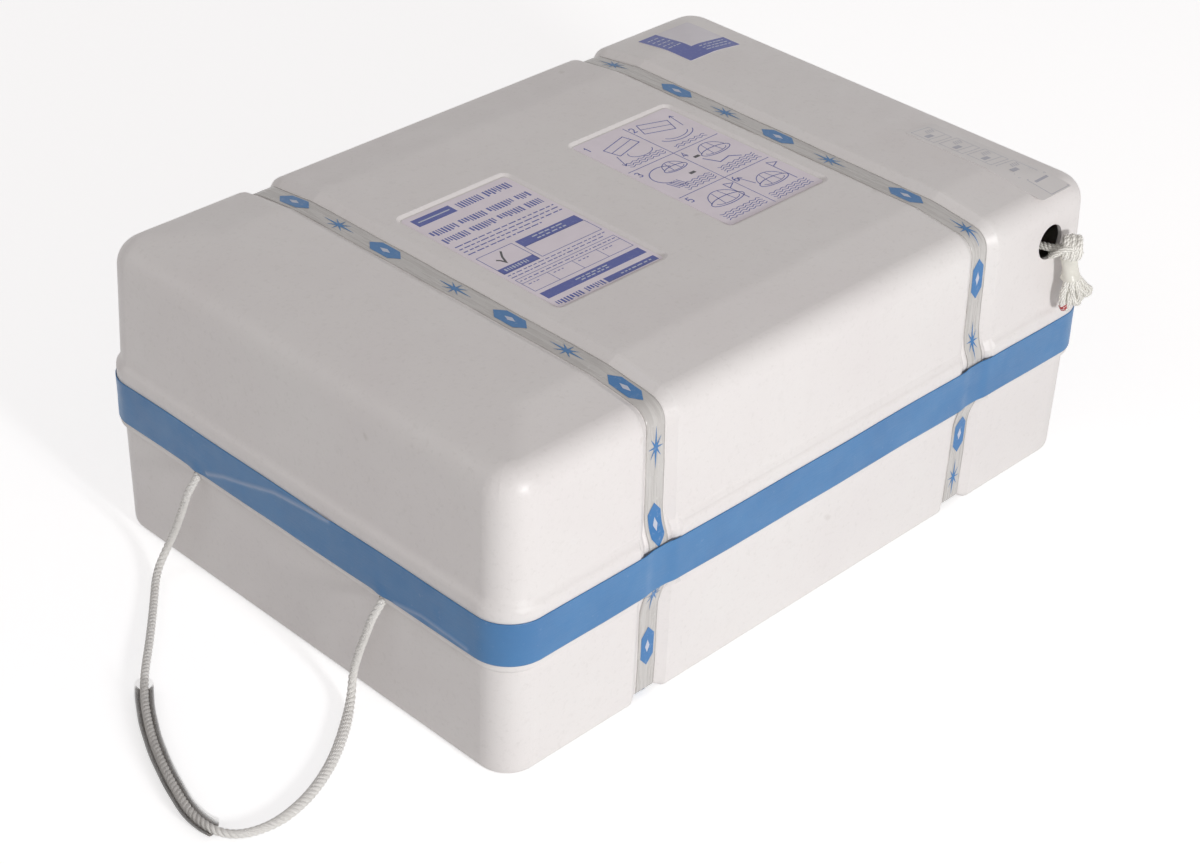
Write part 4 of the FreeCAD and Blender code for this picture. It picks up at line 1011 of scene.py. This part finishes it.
def slack_spread(along):
    """The near arc, between the hose and the wall, lies slack and a little flat on the ground."""
    return 1.0 + SLACK_SPREAD * smooth_step(along, 505.0, 560.0) * smooth_step(-along, -715.0, -660.0)


handle_line = smooth_line("handle_guide", ROPE_ROUTE)
handle, handle_points = twisted_rope("handle_strands", handle_line, ROPE * 1.07, 15.0, 1.1, slack_spread)
finish_piece(handle, rope_white, "rope", "handle_rope")


HOSE, HOSE_BORE = 16.0, 12.0
HOSE_ENDS = ((-506.0, 39.0, 5.6), (-573.0, -138.0, 5.6))


def clear_grip():
    """Clear hose over the rope, with open ends."""
    points = resample(handle_line, 2.0)[0]
    low, high = (int(np.argmin(np.linalg.norm(points - np.array(p), axis=1))) for p in HOSE_ENDS)
    line = points[low:high + 1].copy()
    line[:, 2] = HOSE / 2.0 + 0.1
    at = np.linspace(0.0, 1.0, len(line))[:, None]
    around = 28
    ripple = 1.0 + 0.012 * np.sin(at * 31.0) + 0.02 * np.cos(2.0 * circle(around)[None, :] + at * 4.0)
    radii = (HOSE / 2.0 - 0.1, HOSE_BORE / 2.0)
    outer, inner = (tube_rows(line, radius * ripple, around) for radius in radii)
    rows = np.concatenate([outer, inner[::-1]])
    verts = rows.reshape(-1, 3)
    faces = grid_faces(len(rows), around, True, True)
    obj = mesh_object("clear_grip", verts, faces)
    # 1 in the hose's lower half, which its material paints as shade
    mark_points(obj, "low", smooth_step(line[0, 2] - verts[:, 2], -1.5, 5.0))
    return finish_piece(obj, hose_clear, "grip", "handle_grip")


grip = clear_grip()

# ---- painter ----
PAINTER = 8.0
PAINTER_ROUTE = [(291, -214, 200.3), (292, -214, 217), (296, -221, 231), (302, -235, 238),
                 (306, -247, 239), (307, -258, 240), (312, -263.5, 241)]
painter_core = smooth_line("painter_guide", PAINTER_ROUTE)
painter, painter_points = twisted_rope("painter_strands", painter_core, PAINTER, 13.0, 1.1)
finish_piece(painter, painter_white, "painter", "painter_line")

KNOT_START = np.array(PAINTER_ROUTE[-1], float)
KNOT_AXIS = unit(KNOT_START - np.array(PAINTER_ROUTE[-2], float))
KNOT_LENGTH, KNOT_TURNS, KNOT_LAY = 17.0, 2.5, 11.0
HEART = KNOT_START + KNOT_AXIS * 5.5  # the painter hangs from here
LEAN = np.array([0.139, -0.111, -1.0])
FAN = np.array([0.86, -0.5, 0.0])  # way in which the loops spread
WRAP_TOP, WRAP_BOTTOM, LOOPS_TOP = 236.0, 211.0, 213.0


def hang(z):
    """Point at height z on the line in which the painter hangs."""
    return HEART + LEAN * (z - HEART[2]) / LEAN[2]


def painter_turns():
    """Knot: the painter's turns round itself, side by side, its core, and a crossing strand."""
    side = unit(np.cross(KNOT_AXIS, (0.0, 0.0, 1.0)))
    up = np.cross(side, KNOT_AXIS)
    t = np.linspace(0.0, 1.0, 90)[:, None]
    radius = 8.7 - 1.2 * np.abs(2.0 * t - 1.0) ** 3
    angle = 2.0 * math.pi * KNOT_TURNS * t - 0.9
    line = (KNOT_START + KNOT_AXIS * 1.6 + KNOT_AXIS * (KNOT_LENGTH - 4.0) * t
            + radius * (np.cos(angle) * side + np.sin(angle) * up))
    turns = twisted_rope("painter_turns", line, 8.6, KNOT_LAY)[0]
    core = KNOT_START + KNOT_AXIS * np.linspace(-1.0, KNOT_LENGTH - 3.0, 20)[:, None]
    crossing = smooth_line("crossing_guide", [(307, -255, 232), (303, -262, 238), (304, -270, 246),
                                              (313, -277, 245), (320, -277, 238)])
    for rest in (twisted_rope("painter_knot_core", core, 9.5, KNOT_LAY, 0.8)[0],
                 twisted_rope("painter_crossing", crossing, 7.4, KNOT_LAY)[0]):
        finish_piece(rest, painter_white, "painter")
    return finish_piece(turns, painter_white, "painter", "painter_knot")


def painter_wrap():
    """Smooth length of tape wrapped round the painter under its knot."""
    top, bottom = hang(WRAP_TOP), hang(WRAP_BOTTOM)
    around, laps = 36, 5.0
    t = np.linspace(0.0, 1.0, 56)[:, None]
    angle = circle(around)
    waist = 7.2 + 1.5 * (2.0 * t - 1.0) ** 2 + 0.5 * smooth_step(t, 0.8, 1.0)
    lap = np.mod(t * laps + angle / (2.0 * math.pi), 1.0)
    edge = 0.30 * (smooth_step(lap, 0.0, 0.12) - lap)
    radii = waist + edge + 0.35 * np.cos(3.0 * angle + 6.0 * t)
    wrap = tube_object("painter_wrap", [tube_rows(top + (bottom - top) * t, radii, around)])
    return finish_piece(wrap, whipping_tape, "whipping", "painter_whipping")


def painter_mark(line):
    """Red marker thread, three turns round a loop."""
    points = resample(line, 0.8)[0]
    start = int(len(points) * 0.44)
    tubes = [tube_rows(points[middle - 1:middle + 2], [3.0, 3.75, 3.0], 20)
             for middle in (start, start + 2, start + 4)]
    finish_piece(tube_object("painter_mark", tubes), red_thread, "painter")


def painter_loops():
    """Bights of the painter's end, fanned out under the wrapping."""
    down = unit(LEAN)
    wide = unit(FAN - down * (FAN @ down))
    deep = np.cross(down, wide)
    top = hang(LOOPS_TOP)
    half = 3.4
    pieces = []
    for k, (fan, depth, drop) in enumerate(LOOPS):
        # share of the fan, of the half width and of the depth, and the distance down
        stations = ((0.15, -1.0 / half, 0.5, -3.0), (0.45, -0.7, 1.0, 8.0), (0.85, -1.0, 1.0, 18.0),
                    (1.0, -1.0, 1.0, drop - 5.0), (1.0, 0.0, 1.0, drop + 1.5), (1.0, 1.0, 1.0, drop - 5.0),
                    (0.85, 1.0, 0.6, 18.0), (0.45, 0.7, 0.5, 8.0), (0.15, 1.0 / half, 0.2, -3.0))
        route = [tuple(top + wide * (fan * a + half * b) + deep * depth * c + down * w)
                 for a, b, c, w in stations]
        line = smooth_line("loop_guide", route)
        loop = twisted_rope("painter_loop_%d" % (k + 1), line, 6.8, 9.5)[0]
        replaced = ["painter_tail"] if k == 0 else []
        pieces.append(finish_piece(loop, painter_white, "painter", *replaced))
        if k == 0:
            painter_mark(line)
    return pieces


# each loop's place in the fan, its depth and its drop
LOOPS = [(-7.0, 1.5, 33.0), (-1.5, -3.0, 31.5), (3.5, 2.5, 30.0), (9.0, -2.0, 28.0), (14.5, 1.5, 24.0)]
painter_knot_piece = painter_turns()
painter_wrap_piece = painter_wrap()
painter_loop_pieces = painter_loops()

tuple(c * MM for c in ROPE_ROUTE[0])
[tuple(p * MM) for p in handle_points]
tuple(c * MM for c in PAINTER_ROUTE[0])
[tuple(p * MM) for p in painter_points]

# ---- floor, light, camera ----
def looked_at(tree):
    """1 for the rays that show the white background: from the camera, a gloss or a clear thing."""
    rays = tree.nodes.new("ShaderNodeLightPath").outputs
    seen = rays["Is Camera Ray"]
    for name in ("Is Glossy Ray", "Is Transmission Ray"):
        either = tree.nodes.new("ShaderNodeMath")
        either.operation = "MAXIMUM"
        tree.links.new(seen, either.inputs[0])
        tree.links.new(rays[name], either.inputs[1])
        seen = either.outputs[0]
    return seen


FLOOR_HALF, FLOOR_DROP = 12000.0, 0.3
FLOOR_GLOW, SKY_LIGHT = 0.56, 0.402
WHITE = (1.0, 1.0, 1.0, 1.0)
floor = mesh_object("floor", [(x * FLOOR_HALF, y * FLOOR_HALF, -FLOOR_DROP)
                              for x, y in ((-1, -1), (1, -1), (1, 1), (-1, 1))], [(0, 1, 2, 3)], smooth=False)
ground = Nodes("pale_floor", (0.80, 0.80, 0.80), 0.9)
ground.shader.inputs["Emission Color"].default_value = WHITE
glow = ground.math("MULTIPLY", looked_at(ground.tree), FLOOR_GLOW)
ground.feed(glow, ground.shader.inputs["Emission Strength"])
dress(floor, ground.material)

world = bpy.data.worlds.new("studio")
bpy.context.scene.world = world
world.use_nodes = True
tree = world.node_tree
sky = tree.nodes["Background"]
sky.inputs["Color"].default_value = (1.0, 0.955, 0.95, 1.0)
sky.inputs["Strength"].default_value = SKY_LIGHT
white = tree.nodes.new("ShaderNodeBackground")
white.inputs["Color"].default_value = WHITE
blend = tree.nodes.new("ShaderNodeMixShader")
tree.links.new(looked_at(tree), blend.inputs[0])
tree.links.new(sky.outputs[0], blend.inputs[1])
tree.links.new(white.outputs[0], blend.inputs[2])
tree.links.new(blend.outputs[0], tree.nodes["World Output"].inputs["Surface"])


def lamp(name, place, target, size, power):
    """Round soft lamp, aimed at a target."""
    data = bpy.data.lights.new(name, "AREA")
    data.shape = "DISK"
    data.size = size
    data.energy = power
    obj = link(bpy.data.objects.new(name, data))
    obj.location = place
    obj.rotation_euler = (Vector(target) - Vector(place)).to_track_quat("-Z", "Y").to_euler()


lamp("key", (-0.70, -3.25, 0.95), (0.0, 0.0, 0.2), 0.45, 57.0)
lamp("fill", (-2.2, 2.0, 2.2), (0.0, 0.0, 0.15), 1.4, 6.0)

scene = bpy.context.scene
scene.view_settings.view_transform = "Standard"
camera = link(bpy.data.objects.new("camera", bpy.data.cameras.new("camera")))
camera.data.sensor_width = 36.0
camera.data.lens = 76.613
camera.data.clip_end = 60.0
# the view's right and down directions, from the camera fitted to the photograph
right = Vector((0.70518, -0.70834, 0.03109))
down = Vector((-0.37183, -0.40679, -0.83442))
turn = Matrix((right, -down, -right.cross(down))).transposed().to_4x4()
camera.matrix_world = Matrix.Translation((-1.44080, -1.36772, 1.36108)) @ turn
scene.camera = camera
